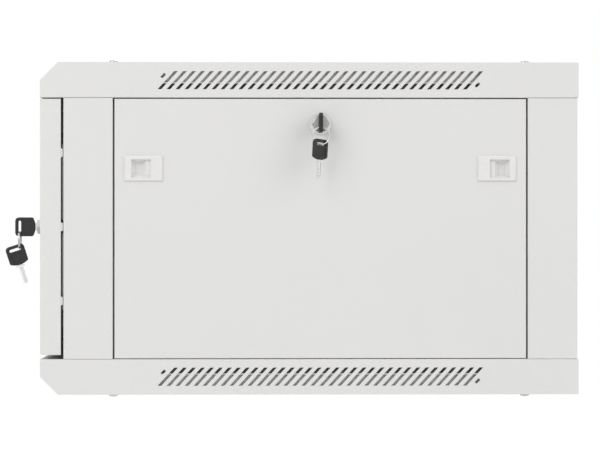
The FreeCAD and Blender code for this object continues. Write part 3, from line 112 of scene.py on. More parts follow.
@dataclass
class ShaderBench:
    """Lays out the shader nodes of one material from named textures.

    Args:
        name: The material's name.
        shade_samples: How many rays look for a nearby face when shade is painted into a corner.
    """

    name: str
    shade_samples: int = 6
    material: bpy.types.Material = field(init=False)
    tree: bpy.types.NodeTree = field(init=False)
    surface: bpy.types.ShaderNode = field(init=False)
    place: bpy.types.ShaderNode = field(init=False)

    def __post_init__(self) -> None:
        """Makes an empty material with one principled surface and its coordinates."""
        self.material = bpy.data.materials.new(self.name)
        self.material.use_nodes = True
        self.tree = self.material.node_tree
        self.tree.nodes.clear()
        output = self.tree.nodes.new("ShaderNodeOutputMaterial")
        self.surface = self.tree.nodes.new("ShaderNodeBsdfPrincipled")
        self.link(self.surface, "BSDF", output, "Surface")
        self.place = self.tree.nodes.new("ShaderNodeTexCoord")

    def link(self, source: bpy.types.ShaderNode, out: str | int,
             target: bpy.types.ShaderNode, into: str | int) -> None:
        """Joins one node's output to another node's input.

        Args:
            source: The node that gives the value.
            out: The name or number of its output.
            target: The node that takes the value.
            into: The name or number of its input.
        """
        self.tree.links.new(source.outputs[out], target.inputs[into])

    def stretched(self, scale: Point) -> bpy.types.ShaderNode:
        """Scales the object's coordinates, so that a texture runs along one way.

        Args:
            scale: How much each axis is stretched.

        Returns:
            The mapping node.
        """
        mapping = self.tree.nodes.new("ShaderNodeMapping")
        mapping.inputs["Scale"].default_value = scale
        self.link(self.place, "Object", mapping, "Vector")
        return mapping

    def noise(self, scale: float, detail: float,
              along: Point = EVEN) -> bpy.types.ShaderNode:
        """Adds a noise texture in metres.

        Args:
            scale: Waves in each metre.
            detail: How many finer waves lie on the first.
            along: How much the texture is stretched along each axis.

        Returns:
            The noise node.
        """
        texture = self.tree.nodes.new("ShaderNodeTexNoise")
        texture.inputs["Scale"].default_value = scale
        texture.inputs["Detail"].default_value = detail
        self.link(self.stretched(along), "Vector", texture, "Vector")
        return texture

    def spread(self, source: bpy.types.ShaderNode, out: str, low: float, high: float,
               into: str, floor: float = 0.3, roof: float = 0.7) -> None:
        """Maps a texture's values onto one of the surface's inputs.

        Args:
            source: The texture node.
            out: The name of its output.
            low: The input's value where the texture is darkest.
            high: The input's value where it is brightest.
            into: The surface input that takes it.
            floor: The texture value that gives the low value.
            roof: The texture value that gives the high value.
        """
        ramp = self.tree.nodes.new("ShaderNodeMapRange")
        ramp.inputs["From Min"].default_value = floor
        ramp.inputs["From Max"].default_value = roof
        ramp.inputs["To Min"].default_value = low
        ramp.inputs["To Max"].default_value = high
        self.link(source, out, ramp, "Value")
        self.link(ramp, "Result", self.surface, into)

    def tint(self, source: bpy.types.ShaderNode, out: str, dark: Colour, light: Colour,
             floor: float = 0.3, roof: float = 0.7) -> None:
        """Lets a texture move the surface's colour between two shades.

        Args:
            source: The texture node.
            out: The name of its output.
            dark: The colour where the texture is darkest.
            light: The colour where it is brightest.
            floor: The texture value that gives the dark colour.
            roof: The texture value that gives the light colour.
        """
        ramp = self.tree.nodes.new("ShaderNodeValToRGB")
        ramp.color_ramp.elements[0].position = floor
        ramp.color_ramp.elements[0].color = (*dark, 1.0)
        ramp.color_ramp.elements[1].position = roof
        ramp.color_ramp.elements[1].color = (*light, 1.0)
        self.link(source, out, ramp, "Fac")
        self.link(ramp, "Color", self.surface, "Base Color")

    def height(self, outward: Point, low: float, high: float) -> bpy.types.ShaderNode:
        """Measures how far the surface stands out along one way.

        Args:
            outward: The way, in the cabinet's frame.
            low: The place along it that gives 0, in metres.
            high: The place along it that gives 1.

        Returns:
            The node whose Result runs from 0 to 1.
        """
        along = self.tree.nodes.new("ShaderNodeVectorMath")
        along.operation = "DOT_PRODUCT"
        along.inputs[1].default_value = outward
        self.link(self.place, "Object", along, 0)
        ramp = self.tree.nodes.new("ShaderNodeMapRange")
        ramp.inputs["From Min"].default_value = low
        ramp.inputs["From Max"].default_value = high
        self.link(along, "Value", ramp, "Value")
        return ramp

    def paint_corner_shade(self, reach: float, dark: float) -> None:
        """Paints shade into the surface's colour where two faces meet in a corner.

        Args:
            reach: How far from the corner the painted shade goes, in metres.
            dark: The share of the colour that the painted shade leaves in the corner.
        """
        shade_ao = self.tree.nodes.new("ShaderNodeAmbientOcclusion")
        shade_ao.samples = self.shade_samples
        shade_ao.inputs["Distance"].default_value = reach
        shade = self.tree.nodes.new("ShaderNodeMix")
        shade.data_type = "RGBA"
        shade.blend_type = "MULTIPLY"
        shade.inputs["Factor"].default_value = 1.0
        ramp = self.tree.nodes.new("ShaderNodeMapRange")
        ramp.inputs["To Min"].default_value = dark
        self.link(shade_ao, "AO", ramp, "Value")
        colour = self.surface.inputs["Base Color"].links[0].from_socket
        self.tree.links.new(colour, shade.inputs[MIX_COLOUR_A])
        self.link(ramp, "Result", shade, MIX_COLOUR_B)
        self.link(shade, MIX_COLOUR_RESULT, self.surface, "Base Color")

    def relief(self, source: bpy.types.ShaderNode, out: str, height: float,
               strength: float) -> None:
        """Raises the surface by a texture.

        Args:
            source: The texture node.
            out: The name of its output.
            height: How high the texture's waves stand, in metres.
            strength: How much of the relief shows.
        """
        bump = self.tree.nodes.new("ShaderNodeBump")
        bump.inputs["Distance"].default_value = height
        bump.inputs["Strength"].default_value = strength
        self.link(source, out, bump, "Height")
        self.link(bump, "Normal", self.surface, "Normal")


@dataclass(frozen=True)
class PowderCoat:
    """Satin powder coat: a pale grey with a fine orange peel and a faint cloudiness.

    Here and in the other finishes, textures are in waves for each metre, depths and reaches in metres.
    """

    name: str
    shade: Colour
    clouds: float = 6.0
    cloud_detail: float = 3.0
    cloud: float = 0.985
    peel: float = 1100.0
    peel_detail: float = 2.0
    peel_depth: float = 0.00004
    peel_strength: float = 0.5
    rough: Spread = (0.56, 0.64)
    shine: float = 0.32
    # Painted corner shade: how far it reaches, and the share of the colour it leaves in a corner.
    corner_shade_reach: float = 0.008
    corner: float = 0.82

    def build(self) -> bpy.types.Material:
        """Makes the powder coat.

        Returns:
            The material.
        """
        bench = ShaderBench(self.name)
        bench.surface.inputs["Specular IOR Level"].default_value = self.shine
        clouds = bench.noise(self.clouds, self.cloud_detail)
        dimmer = tuple(channel * self.cloud for channel in self.shade)
        bench.tint(clouds, "Fac", dimmer, self.shade)
        peel = bench.noise(self.peel, self.peel_detail)
        bench.spread(peel, "Fac", *self.rough, "Roughness")
        bench.relief(peel, "Fac", self.peel_depth, self.peel_strength)
        # Paints shade into the coat's colour where faces meet in a corner.
        bench.paint_corner_shade(self.corner_shade_reach, self.corner)
        return bench.material


@dataclass(frozen=True)
class PlatedSteel:
    """Plated or bare steel with a drawn grain and rubbed patches."""

    name: str
    dark: Colour
    light: Colour
    rough: Spread
    patches: float = 38.0
    patch_detail: float = 4.0
    grain: float = 260.0
    grain_detail: float = 3.0
    along: Point = (1.0, 1.0, 0.08)
    grain_depth: float = 0.00002
    grain_strength: float = 0.35
    # Painted corner shade: how far it reaches, and the share of the colour it leaves in a corner.
    corner_shade_reach: float = 0.0025
    corner: float = 0.35

    def build(self) -> bpy.types.Material:
        """Makes the plated metal.

        Returns:
            The material.
        """
        bench = ShaderBench(self.name)
        bench.surface.inputs["Metallic"].default_value = 1.0
        patches = bench.noise(self.patches, self.patch_detail)
        bench.tint(patches, "Fac", self.dark, self.light)
        grain = bench.noise(self.grain, self.grain_detail, self.along)
        bench.spread(grain, "Fac", *self.rough, "Roughness")
        bench.relief(grain, "Fac", self.grain_depth, self.grain_strength)
        # Paints shade into the metal's colour where faces meet in a corner.
        bench.paint_corner_shade(self.corner_shade_reach, self.corner)
        return bench.material


@dataclass(frozen=True)
class LockChrome:
    """A cam lock's housing: a bright flange under a greyer polished head.

    The face is where the lock's panel or door has its outer face along the outward way. The
    flange ends at its height over that face, and the head's grey begins over the step between them.
    That grey is painted shade, standing in for the darker reflection of the same chrome.
    """

    name: str
    outward: Point
    face: float
    flange_height: float = 0.0024
    step: Spread = (0.0002, 0.0006)
    flange: Colour = (0.66, 0.66, 0.66)
    head: Colour = (0.4, 0.4, 0.4)
    rough: Spread = (0.16, 0.26)
    haze: float = 420.0
    haze_detail: float = 3.0
    haze_depth: float = 0.00001
    haze_strength: float = 0.3
    # Painted corner shade: how far it reaches, and the share of the colour it leaves in a corner.
    corner_shade_reach: float = 0.0022
    corner: float = 0.2

    def build(self) -> bpy.types.Material:
        """Makes the chrome of a lock's housing.

        Returns:
            The material.
        """
        bench = ShaderBench(self.name)
        bench.surface.inputs["Metallic"].default_value = 1.0
        low, high = (self.face + self.flange_height + edge for edge in self.step)
        height = bench.height(self.outward, low, high)
        # The head's darker grey is painted shade, standing in for the darker reflection of the same
        # chrome.
        bench.tint(height, "Result", self.flange, self.head, floor=0.0, roof=1.0)
        haze = bench.noise(self.haze, self.haze_detail)
        bench.spread(haze, "Fac", *self.rough, "Roughness")
        bench.relief(haze, "Fac", self.haze_depth, self.haze_strength)
        # Paints shade into the chrome's colour where faces meet in a corner.
        bench.paint_corner_shade(self.corner_shade_reach, self.corner)
        return bench.material


@dataclass(frozen=True)
class MouldedPlastic:
    """Moulded plastic with a fine spark-eroded grain."""

    name: str
    dark: Colour
    light: Colour
    rough: Spread
    flow: float = 120.0
    flow_detail: float = 2.0
    grain: float = 2600.0
    grain_detail: float = 2.0
    grain_depth: float = 0.00003
    grain_strength: float = 0.5
    shine: float = 0.4
    # Painted corner shade: how far it reaches, and the share of the colour it leaves in a corner.
    corner_shade_reach: float = 0.0012
    corner: float = 0.8

    def build(self) -> bpy.types.Material:
        """Makes the plastic.

        Returns:
            The material.
        """
        bench = ShaderBench(self.name)
        bench.surface.inputs["Specular IOR Level"].default_value = self.shine
        flow = bench.noise(self.flow, self.flow_detail)
        bench.tint(flow, "Fac", self.dark, self.light)
        grain = bench.noise(self.grain, self.grain_detail)
        bench.spread(grain, "Fac", *self.rough, "Roughness")
        bench.relief(grain, "Fac", self.grain_depth, self.grain_strength)
        # Paints shade into the plastic's colour where faces meet in a corner.
        bench.paint_corner_shade(self.corner_shade_reach, self.corner)
        return bench.material


@dataclass(frozen=True)
class SmokedGlass:
    """Lightly smoked tempered glass with a trace of wiping marks."""

    name: str
    dark: Colour = (0.38, 0.4, 0.395)
    light: Colour = (0.42, 0.44, 0.435)
    rough: Spread = (0.0, 0.03)
    refraction: float = 1.5
    wiping: float = 14.0
    wiping_detail: float = 4.0
    along: Point = (1.0, 1.0, 0.35)
    marked: Spread = (0.45, 0.75)

    def build(self) -> bpy.types.Material:
        """Makes the glass.

        Returns:
            The material.
        """
        bench = ShaderBench(self.name)
        bench.surface.inputs["Transmission Weight"].default_value = 1.0
        bench.surface.inputs["IOR"].default_value = self.refraction
        wiping = bench.noise(self.wiping, self.wiping_detail, self.along)
        bench.tint(wiping, "Fac", self.dark, self.light)
        bench.spread(wiping, "Fac", *self.rough, "Roughness", *self.marked)
        return bench.material


FINISHES = {
    Slot.PAINT: PowderCoat("light_grey_powder_coat", (0.765, 0.762, 0.752)),
    Slot.ZINC: PlatedSteel("bright_zinc_plate", (0.56, 0.57, 0.585), (0.72, 0.725, 0.73),
                           (0.24, 0.42)),
    Slot.NICKEL: PlatedSteel("milled_key_steel", (0.7, 0.7, 0.69), (0.8, 0.8, 0.79),
                             (0.3, 0.42), grain=900.0, along=EVEN, grain_depth=0.00001,
                             corner=0.4),
    Slot.CHROME: PlatedSteel("polished_chrome", (0.66, 0.66, 0.665), (0.76, 0.76, 0.765),
                             (0.05, 0.14), grain=400.0, along=EVEN, grain_depth=0.00001),
    # The black moulding's painted corner shade goes down to black in its recesses.
    Slot.BLACK_PLASTIC: MouldedPlastic("black_moulding", (0.012, 0.012, 0.012),
                                       (0.02, 0.02, 0.02), (0.36, 0.46),
                                       corner_shade_reach=0.003, corner=0.0),
    Slot.WHITE_PLASTIC: MouldedPlastic("white_moulding", (0.785, 0.775, 0.762),
                                       (0.81, 0.8, 0.788), (0.34, 0.44)),
    Slot.GLASS: SmokedGlass("tempered_glass"),
    Slot.TAPE: MouldedPlastic("black_foam_tape", (0.012, 0.012, 0.012),
                              (0.022, 0.022, 0.022), (0.75, 0.9), grain=1500.0,
                              grain_depth=0.0001),
}


class Special(Enum):
    """Finishes of pieces that differ from their record slot's general look, some of them by painted
    shade.
    """

    DOOR_LOCK = LockChrome("door_lock_chrome", (0.0, -1.0, 0.0), 0.6)
    RIGHT_LOCK = LockChrome("right_lock_chrome", (1.0, 0.0, 0.0), 0.3)
    LEFT_LOCK = LockChrome("left_lock_chrome", (-1.0, 0.0, 0.0), 0.3)
    RING = PlatedSteel("key_ring_wire", (0.5, 0.5, 0.5), (0.62, 0.62, 0.615), (0.2, 0.32),
                       grain=900.0, along=EVEN, grain_depth=0.00001, corner=0.5)
    PLUG = PlatedSteel("satin_lock_plug", (0.4, 0.395, 0.39), (0.48, 0.475, 0.47),
                       (0.3, 0.42), grain=500.0, along=EVEN, corner=0.3)
    # The door frame's grey again, with a stronger and wider painted shade deep in the gap behind its
    # edge.
    DOOR_GAP_SHADE = PowderCoat("light_grey_coat_with_gap_shade", (0.765, 0.762, 0.752),
                            corner_shade_reach=0.03, corner=0.3)
    BOLT = PlatedSteel("chromed_bolt_head", (0.4, 0.4, 0.41), (0.55, 0.55, 0.56),
                       (0.12, 0.25), grain=300.0, along=EVEN, grain_depth=0.00001,
                       corner=0.3)


@dataclass
class PaintShop:
    """Holds one material for each finish and puts it on the pieces that have it.

    Args:
        record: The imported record, which names each node's slot.
    """

    record: dict
    made: dict[Slot | Special, bpy.types.Material] = field(default_factory=dict)

    def material(self, finish: Slot | Special) -> bpy.types.Material:
        """Gives a finish's material, made at its first use.

        Args:
            finish: The record slot or special finish.

        Returns:
            The material.
        """
        if finish not in self.made:
            recipe = finish.value if isinstance(finish, Special) else FINISHES[finish]
            self.made[finish] = recipe.build()
        return self.made[finish]

    def slot_of(self, node: str) -> Slot:
        """Looks up a node's finish in the record.

        Args:
            node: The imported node's name.

        Returns:
            Its slot.
        """
        for part in self.record["subparts"]:
            if part["node"] == node:
                return Slot(part["material_slot"])
        raise KeyError(node)

    def coat(self, piece: bpy.types.Object, finish: Slot | Special) -> None:
        """Gives every face of a piece one finish.

        Args:
            piece: The piece.
            finish: The record slot or special finish.
        """
        piece.data.materials.clear()
        piece.data.materials.append(self.material(finish))


def named(prefix: str, *pieces: str) -> tuple[str, ...]:
    """Puts the name of a side or carrier before the names of its pieces."""
    return tuple(f"{prefix}_{piece}" for piece in pieces)


@dataclass
class SubAssembly:
    """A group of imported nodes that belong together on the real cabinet.

    Args:
        frame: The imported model.
        shop: The paint shop.
    """

    frame: dict
    shop: PaintShop

    def nodes(self) -> tuple[str, ...]:
        """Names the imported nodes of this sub-assembly."""
        return ()

    def special(self) -> dict[str, Special]:
        """Names the nodes whose finish isn't their record slot's general look."""
        return {}

    def build(self) -> None:
        """Builds the sub-assembly's own new pieces, where it has any."""

    def softened(self) -> dict[str, float]:
        """Names the nodes whose sharp edges are broken, with the width in metres."""
        return {}

    def add(self, piece: bpy.types.Object, body: str, slot: Slot, finish: Slot | Special,
            *nodes: str) -> None:
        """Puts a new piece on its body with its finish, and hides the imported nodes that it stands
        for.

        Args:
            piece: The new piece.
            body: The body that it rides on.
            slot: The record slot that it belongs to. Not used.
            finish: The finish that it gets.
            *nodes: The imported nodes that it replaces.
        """
        self.shop.coat(piece, finish)
        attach(piece, body)
        if nodes:
            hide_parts(*nodes)
        LOG.info("%s built on %s", piece.name, body)

    def dress(self) -> None:
        """Builds the new pieces, gives each node its finish and breaks the sharp edges."""
        self.build()
        for name in self.nodes():
            piece = self.frame["nodes"][name]
            finish = self.special().get(name) or self.shop.slot_of(name)
            self.shop.coat(piece, finish)
            LOG.info("%s dressed in %s", name, finish.name.lower())
        for name, width in self.softened().items():
            MetalShop.soften(self.frame["nodes"][name], width)


class MetalShop:
    """Turns and presses small steel pieces as meshes, and softens packed ones.

    The weld distance is in metres. The angle at which an edge is a crease and the one from which
    it gets a bevel are in degrees. The punch's taper is the share of its top that its end keeps.
    """

    FLATS = 40
    WELD = 1e-7
    CREASE = 32.0
    PUNCH_TAPER = 0.42
    BEVEL_STEPS = 2
    BEVEL_ANGLE = 40.0

    @staticmethod
    def turned(profile: Profile) -> bpy.types.Mesh:
        """Turns a profile about the Z axis.

        Args:
            profile: Radius and height of each point, from one end of the axis to the other.

        Returns:
            The closed mesh.
        """
        form = bmesh.new()
        rings = []
        for radius, height in profile:
            count = MetalShop.FLATS if radius > 0.0 else 1
            rings.append([form.verts.new((radius * math.cos(math.tau * k / count),
                                          radius * math.sin(math.tau * k / count), height))
                          for k in range(count)])
        for upper, lower in zip(rings, rings[1:]):
            for k in range(MetalShop.FLATS):
                corners = [upper[k % len(upper)], upper[(k + 1) % len(upper)],
                           lower[(k + 1) % len(lower)], lower[k % len(lower)]]
                form.faces.new(list(dict.fromkeys(corners)))
        return MetalShop.finished("turned", form)

    @staticmethod
    def finished(name: str, form: bmesh.types.BMesh, crease: float = CREASE) -> bpy.types.Mesh:
        """Turns a form into a mesh, smooth but for its sharp edges.

        Args:
            name: The mesh's name.
            form: The form, which is freed.
            crease: The angle in degrees above which an edge stays sharp.

        Returns:
            The mesh.
        """
        bmesh.ops.remove_doubles(form, verts=form.verts, dist=MetalShop.WELD)
        bmesh.ops.recalc_face_normals(form, faces=form.faces)
        mesh = bpy.data.meshes.new(name)
        form.to_mesh(mesh)
        form.free()
        mesh.shade_smooth()
        mesh.set_sharp_from_angle(angle=math.radians(crease))
        return mesh

    @staticmethod
    def piece(name: str, mesh: bpy.types.Mesh) -> bpy.types.Object:
        """Puts a mesh into the scene as a piece.

        Args:
            name: The piece's name, which the mesh takes too.
            mesh: The mesh.

        Returns:
            The piece.
        """
        mesh.name = name
        made = bpy.data.objects.new(name, mesh)
        bpy.context.scene.collection.objects.link(made)
        return made

    @staticmethod
    def cross_punch(reach: float, half: float, top: float, bottom: float) -> bpy.types.Mesh:
        """Makes the tapered cross that a driver's recess is pressed with.

        Args:
            reach: How far each arm reaches from the middle at the top.
            half: Half an arm's width at the top.
            top: The height of its upper end.
            bottom: The height of its lower end.

        Returns:
            The closed mesh.
        """
        form = bmesh.new()
        plan = ((reach, half), (half, half), (half, reach))
        quarters = ((1, 0), (0, 1), (-1, 0), (0, -1))
        corners = [(x * right - y * up, x * up + y * right) for right, up in quarters
                   for x, y in plan]
        rings = [[form.verts.new((x * share, y * share, height)) for x, y in corners]
                 for share, height in ((1.0, top), (MetalShop.PUNCH_TAPER, bottom))]
        form.faces.new(rings[0])
        form.faces.new(list(reversed(rings[1])))
        for k in range(len(corners)):
            after = (k + 1) % len(corners)
            form.faces.new((rings[0][k], rings[0][after], rings[1][after], rings[1][k]))
        return MetalShop.finished("cross_punch", form)

    @staticmethod
    def pressed(blank: bpy.types.Mesh, punch: bpy.types.Mesh) -> bpy.types.Mesh:
        """Presses a punch's form into a blank.

        Args:
            blank: The blank.
            punch: The punch.

        Returns:
            The blank with the recess.
        """
        work, tool = MetalShop.piece("work", blank), MetalShop.piece("tool", punch)
        press = work.modifiers.new("press", "BOOLEAN")
        press.operation = "DIFFERENCE"
        press.solver = "EXACT"
        press.object = tool
        bpy.context.view_layer.update()
        graph = bpy.context.evaluated_depsgraph_get()
        result = bpy.data.meshes.new_from_object(work.evaluated_get(graph))
        for spent in (work, tool):
            bpy.data.objects.remove(spent)
        return result

    @staticmethod
    def repeated(name: str, mesh: bpy.types.Mesh, places: Iterable[Matrix]) -> bpy.types.Object:
        """Sets one mesh at several places as one piece.

        Args:
            name: The piece's name.
            mesh: The mesh, standing on the origin along +Z.
            places: Where each copy goes.

        Returns:
            The piece.
        """
        form = bmesh.new()
        for place in places:
            before = len(form.verts)
            form.from_mesh(mesh)
            form.verts.ensure_lookup_table()
            bmesh.ops.transform(form, matrix=place, verts=form.verts[before:])
        return MetalShop.piece(name, MetalShop.finished(name, form))

    @staticmethod
    def standing(spot: Point, way: Point, turn: float = 0.0) -> Matrix:
        """Gives the place of something that stands at a spot along a way.

        Args:
            spot: Where its origin goes.
            way: Where its +Z points.
            turn: How far it is turned about its own axis, in degrees.

        Returns:
            The matrix.
        """
        tilt = Vector((0.0, 0.0, 1.0)).rotation_difference(Vector(way)).to_matrix().to_4x4()
        return Matrix.Translation(spot) @ tilt @ Matrix.Rotation(math.radians(turn), 4, "Z")

    @staticmethod
    def soften(piece: bpy.types.Object, width: float) -> None:
        """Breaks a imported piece's sharp edges with a small bevel.

        Args:
            piece: The piece.
            width: The bevel's width in metres.
        """
        bevel = piece.modifiers.new("broken_edge", "BEVEL")
        bevel.width = width
        bevel.segments = MetalShop.BEVEL_STEPS
        bevel.limit_method = "ANGLE"
        bevel.angle_limit = math.radians(MetalShop.BEVEL_ANGLE)
        bevel.harden_normals = False


@dataclass(frozen=True)
class DomedScrew:
    """A domed screw or bolt with a cross recess, its seat at the origin.

    The shank and head are radii in metres, the rise and length are heights. The rest are shares:
    the lip, recess and arm of the head's radius, the rim, the lip's rise, the depth and the punch's
    top of the head's rise, and the tip of the shank's radius.
    """

    shank: float
    head: float
    rise: float
    length: float
    rim: float = 0.3
    lip: float = 0.97
    lip_rise: float = 0.04
    tip: float = 0.25
    recess: float = 0.52
    arm: float = 0.105
    depth: float = 0.62
    punch_top: float = 1.2
    dome_steps: int = 9

    def dome(self) -> list[Corner]:
        """Rounds the head, from its crown down to its rim.

        Returns:
            Radius and height of each point.
        """
        arc = [(0.0, self.rise)]
        for k in range(self.dome_steps - 1, -1, -1):
            angle = 0.5 * math.pi * k / self.dome_steps
            lift = self.rim + (1.0 - self.rim) * math.sin(angle)
            arc.append((self.head * math.cos(angle), self.rise * lift))
        return arc

    def mesh(self) -> bpy.types.Mesh:
        """Turns the screw and presses its recess.

        Returns:
            The mesh.
        """
        tip = self.tip * self.shank
        shaft = [(self.head, self.lip_rise * self.rise), (self.lip * self.head, 0.0),
                 (self.shank, 0.0), (self.shank, tip - self.length),
                 (self.shank - tip, -self.length), (0.0, -self.length)]
        blank = MetalShop.turned(self.dome() + shaft)
        punch = MetalShop.cross_punch(self.recess * self.head, self.arm * self.head,
                                      self.punch_top * self.rise,
                                      (1.0 - self.depth) * self.rise)
        return MetalShop.pressed(blank, punch)


@dataclass(frozen=True)
class ThreadedStud:
    """A pressed-in stud with a thread and a chamfered end, its base at the origin. In metres.

    The thread's profile is given by where its root, the start of its crest and the end of its
    crest lie, as shares of the pitch.
    """

    base: float
    base_rise: float
    shank: float
    length: float
    base_edge: float = 0.0004
    pitch: float = 0.001
    groove: float = 0.00045
    thread: tuple[float, float, float] = (0.1, 0.45, 0.65)
    end_chamfer: float = 0.0008

    def mesh(self) -> bpy.types.Mesh:
        """Makes the stud, one ridge for each turn of its thread.

        Returns:
            The mesh.
        """
        edge, root = self.base_edge, self.shank - self.groove
        outline = [(0.0, 0.0), (self.base - edge, 0.0), (self.base, edge),
                   (self.base, self.base_rise - edge), (self.base - edge, self.base_rise)]
        foot, rise, fall = (share * self.pitch for share in self.thread)
        height = self.base_rise
        while height + self.pitch < self.length - edge:
            outline += [(root, height + foot), (self.shank, height + rise),
                        (self.shank, height + fall)]
            height += self.pitch
        outline += [(root, height + foot), (self.shank - self.end_chamfer, self.length),
                    (0.0, self.length)]
        return MetalShop.turned(outline)


@dataclass(frozen=True)
class CoilSpring:
    """A compression spring on the Z axis, from the origin up. Sizes in metres.

    The closed turns are those that lie flat, half of them at each end.
    """

    radius: float
    wire: float
    height: float
    turns: float = 9.0
    closed: float = 1.5
    flats: int = 8
    steps: int = 28
    crease: float = 60.0

    def mesh(self) -> bpy.types.Mesh:
        """Winds the spring, closed at both ends.

        Returns:
            The mesh.
        """
        form = bmesh.new()
        count = int(self.turns * self.steps)
        rings = [self.section(form, k / count) for k in range(count + 1)]
        for one, two in zip(rings, rings[1:]):
            for k in range(self.flats):
                after = (k + 1) % self.flats
                form.faces.new((one[k], one[after], two[after], two[k]))
        form.faces.new(rings[0])
        form.faces.new(rings[-1])
        return MetalShop.finished("coil_spring", form, self.crease)

    def section(self, form: bmesh.types.BMesh, share: float) -> list[bmesh.types.BMVert]:
        """Adds one ring of the wire.

        Args:
            form: The form that takes it.
            share: How far along the wire it lies, from 0 to 1.

        Returns:
            The ring's corners.
        """
        angle = math.tau * self.turns * share
        lead = self.closed / self.turns
        rise = min(max((share - 0.5 * lead) / (1.0 - lead), 0.0), 1.0)
        low = self.wire * (0.5 + share * lead)
        high = self.height - self.wire * (0.5 + (1.0 - share) * lead)
        out = Vector((math.cos(angle), math.sin(angle), 0.0))
        centre = out * self.radius + Vector((0.0, 0.0, low + (high - low) * rise))
        ring = []
        for k in range(self.flats):
            turn = math.tau * k / self.flats
            spoke = out * math.cos(turn) + Vector((0.0, 0.0, math.sin(turn)))
            ring.append(form.verts.new(centre + spoke * (0.5 * self.wire)))
        return ring


@dataclass
class Covers(SubAssembly):
    """The top and bottom covers with their vents, cable covers and bolts."""

    bolt: DomedScrew = DomedScrew(shank=0.003, head=0.0057, rise=0.0034, length=0.012)
    bolt_turn: float = 37.0

    def build(self) -> None:
        """Builds the eight domed bolts, each left at its own turn."""
        low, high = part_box("cover_bolts")
        head, level = self.bolt.head, high[2] - self.bolt.rise
        places = []
        for up in (1, -1):
            for x in (high[0] - head, low[0] + head):
                for y in (low[1] + head, high[1] - head):
                    turn = self.bolt_turn * len(places)
                    places.append(MetalShop.standing((x, y, up * level), (0, 0, up), turn))
        bolts = MetalShop.repeated("domed_cover_bolts", self.bolt.mesh(), places)
        self.add(bolts, "cabinet", Slot.ZINC, Special.BOLT, "cover_bolts")

    def nodes(self) -> tuple[str, ...]:
        """Names the covers, the cable covers and the bolts."""
        return ("top_cover", "bottom_cover", "top_cable_cover", "bottom_cable_cover",
                "cover_bolts")


@dataclass
class BackWall(SubAssembly):
    """The back panel with its screws and the earth stud."""

    screw: DomedScrew = DomedScrew(shank=0.002, head=0.004, rise=0.0024, length=0.0024)
    screw_turn: float = 53.0
    stud: ThreadedStud = ThreadedStud(base=0.0048, base_rise=0.004, shank=0.003, length=0.016)

    def build(self) -> None:
        """Builds the panel's screws, evenly spaced on each side, and the earth stud."""
        low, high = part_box("back_panel_screws")
        head, seat = self.screw.head, low[1] + self.screw.rise
        places = []
        for x in (high[0] - head, low[0] + head):
            for share in (-1.0, -0.5, 0.5, 1.0):
                spot = (x, seat, share * (high[2] - head))
                turn = self.screw_turn * len(places)
                places.append(MetalShop.standing(spot, (0, -1, 0), turn))
        screws = MetalShop.repeated("cross_head_panel_screws", self.screw.mesh(), places)
        self.add(screws, "cabinet", Slot.ZINC, Slot.ZINC, "back_panel_screws")
        low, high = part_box("earth_stud")
        foot = (0.5 * (low[0] + high[0]), high[1], 0.5 * (low[2] + high[2]))
        stud = MetalShop.repeated("threaded_earth_stud", self.stud.mesh(),
                                  [MetalShop.standing(foot, (0, -1, 0))])
        self.add(stud, "cabinet", Slot.ZINC, Slot.ZINC, "earth_stud")

    def nodes(self) -> tuple[str, ...]:
        """Names the back panel, its screws and the earth stud."""
        return ("back_panel", "back_panel_screws", "earth_stud")


@dataclass
class SideFrame(SubAssembly):
    """One side's columns, side rails and rack rails."""

    side: Side = Side.RIGHT

    def nodes(self) -> tuple[str, ...]:
        """Names the side frame's pieces."""
        return named(self.side.value, "front_column", "rear_column", "side_rails",
                     "front_rack_rail", "rear_rack_rail", "upper_rail_support",
                     "lower_rail_support")


@dataclass
class Fixings(SubAssembly):
    """The bolts that hold the rack rails to their supports."""

    bolt: DomedScrew = DomedScrew(shank=0.003, head=0.0051, rise=0.0027, length=0.006)
    bolt_turn: float = 41.0

    def build(self) -> None:
        """Builds the eight rail bolts, heads inside."""
        low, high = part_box("rail_bolts")
        head, seat = self.bolt.head, high[0] - self.bolt.length
        places = []
        for side in (1, -1):
            for y in (low[1] + head, high[1] - head):
                for up in (1, -1):
                    spot = (side * seat, y, up * (high[2] - head))
                    turn = self.bolt_turn * len(places)
                    places.append(MetalShop.standing(spot, (-side, 0, 0), turn))
        bolts = MetalShop.repeated("cross_head_rail_bolts", self.bolt.mesh(), places)
        self.add(bolts, "cabinet", Slot.ZINC, Slot.ZINC, "rail_bolts")

    def nodes(self) -> tuple[str, ...]:
        """Names the rail bolts."""
        return ("rail_bolts",)


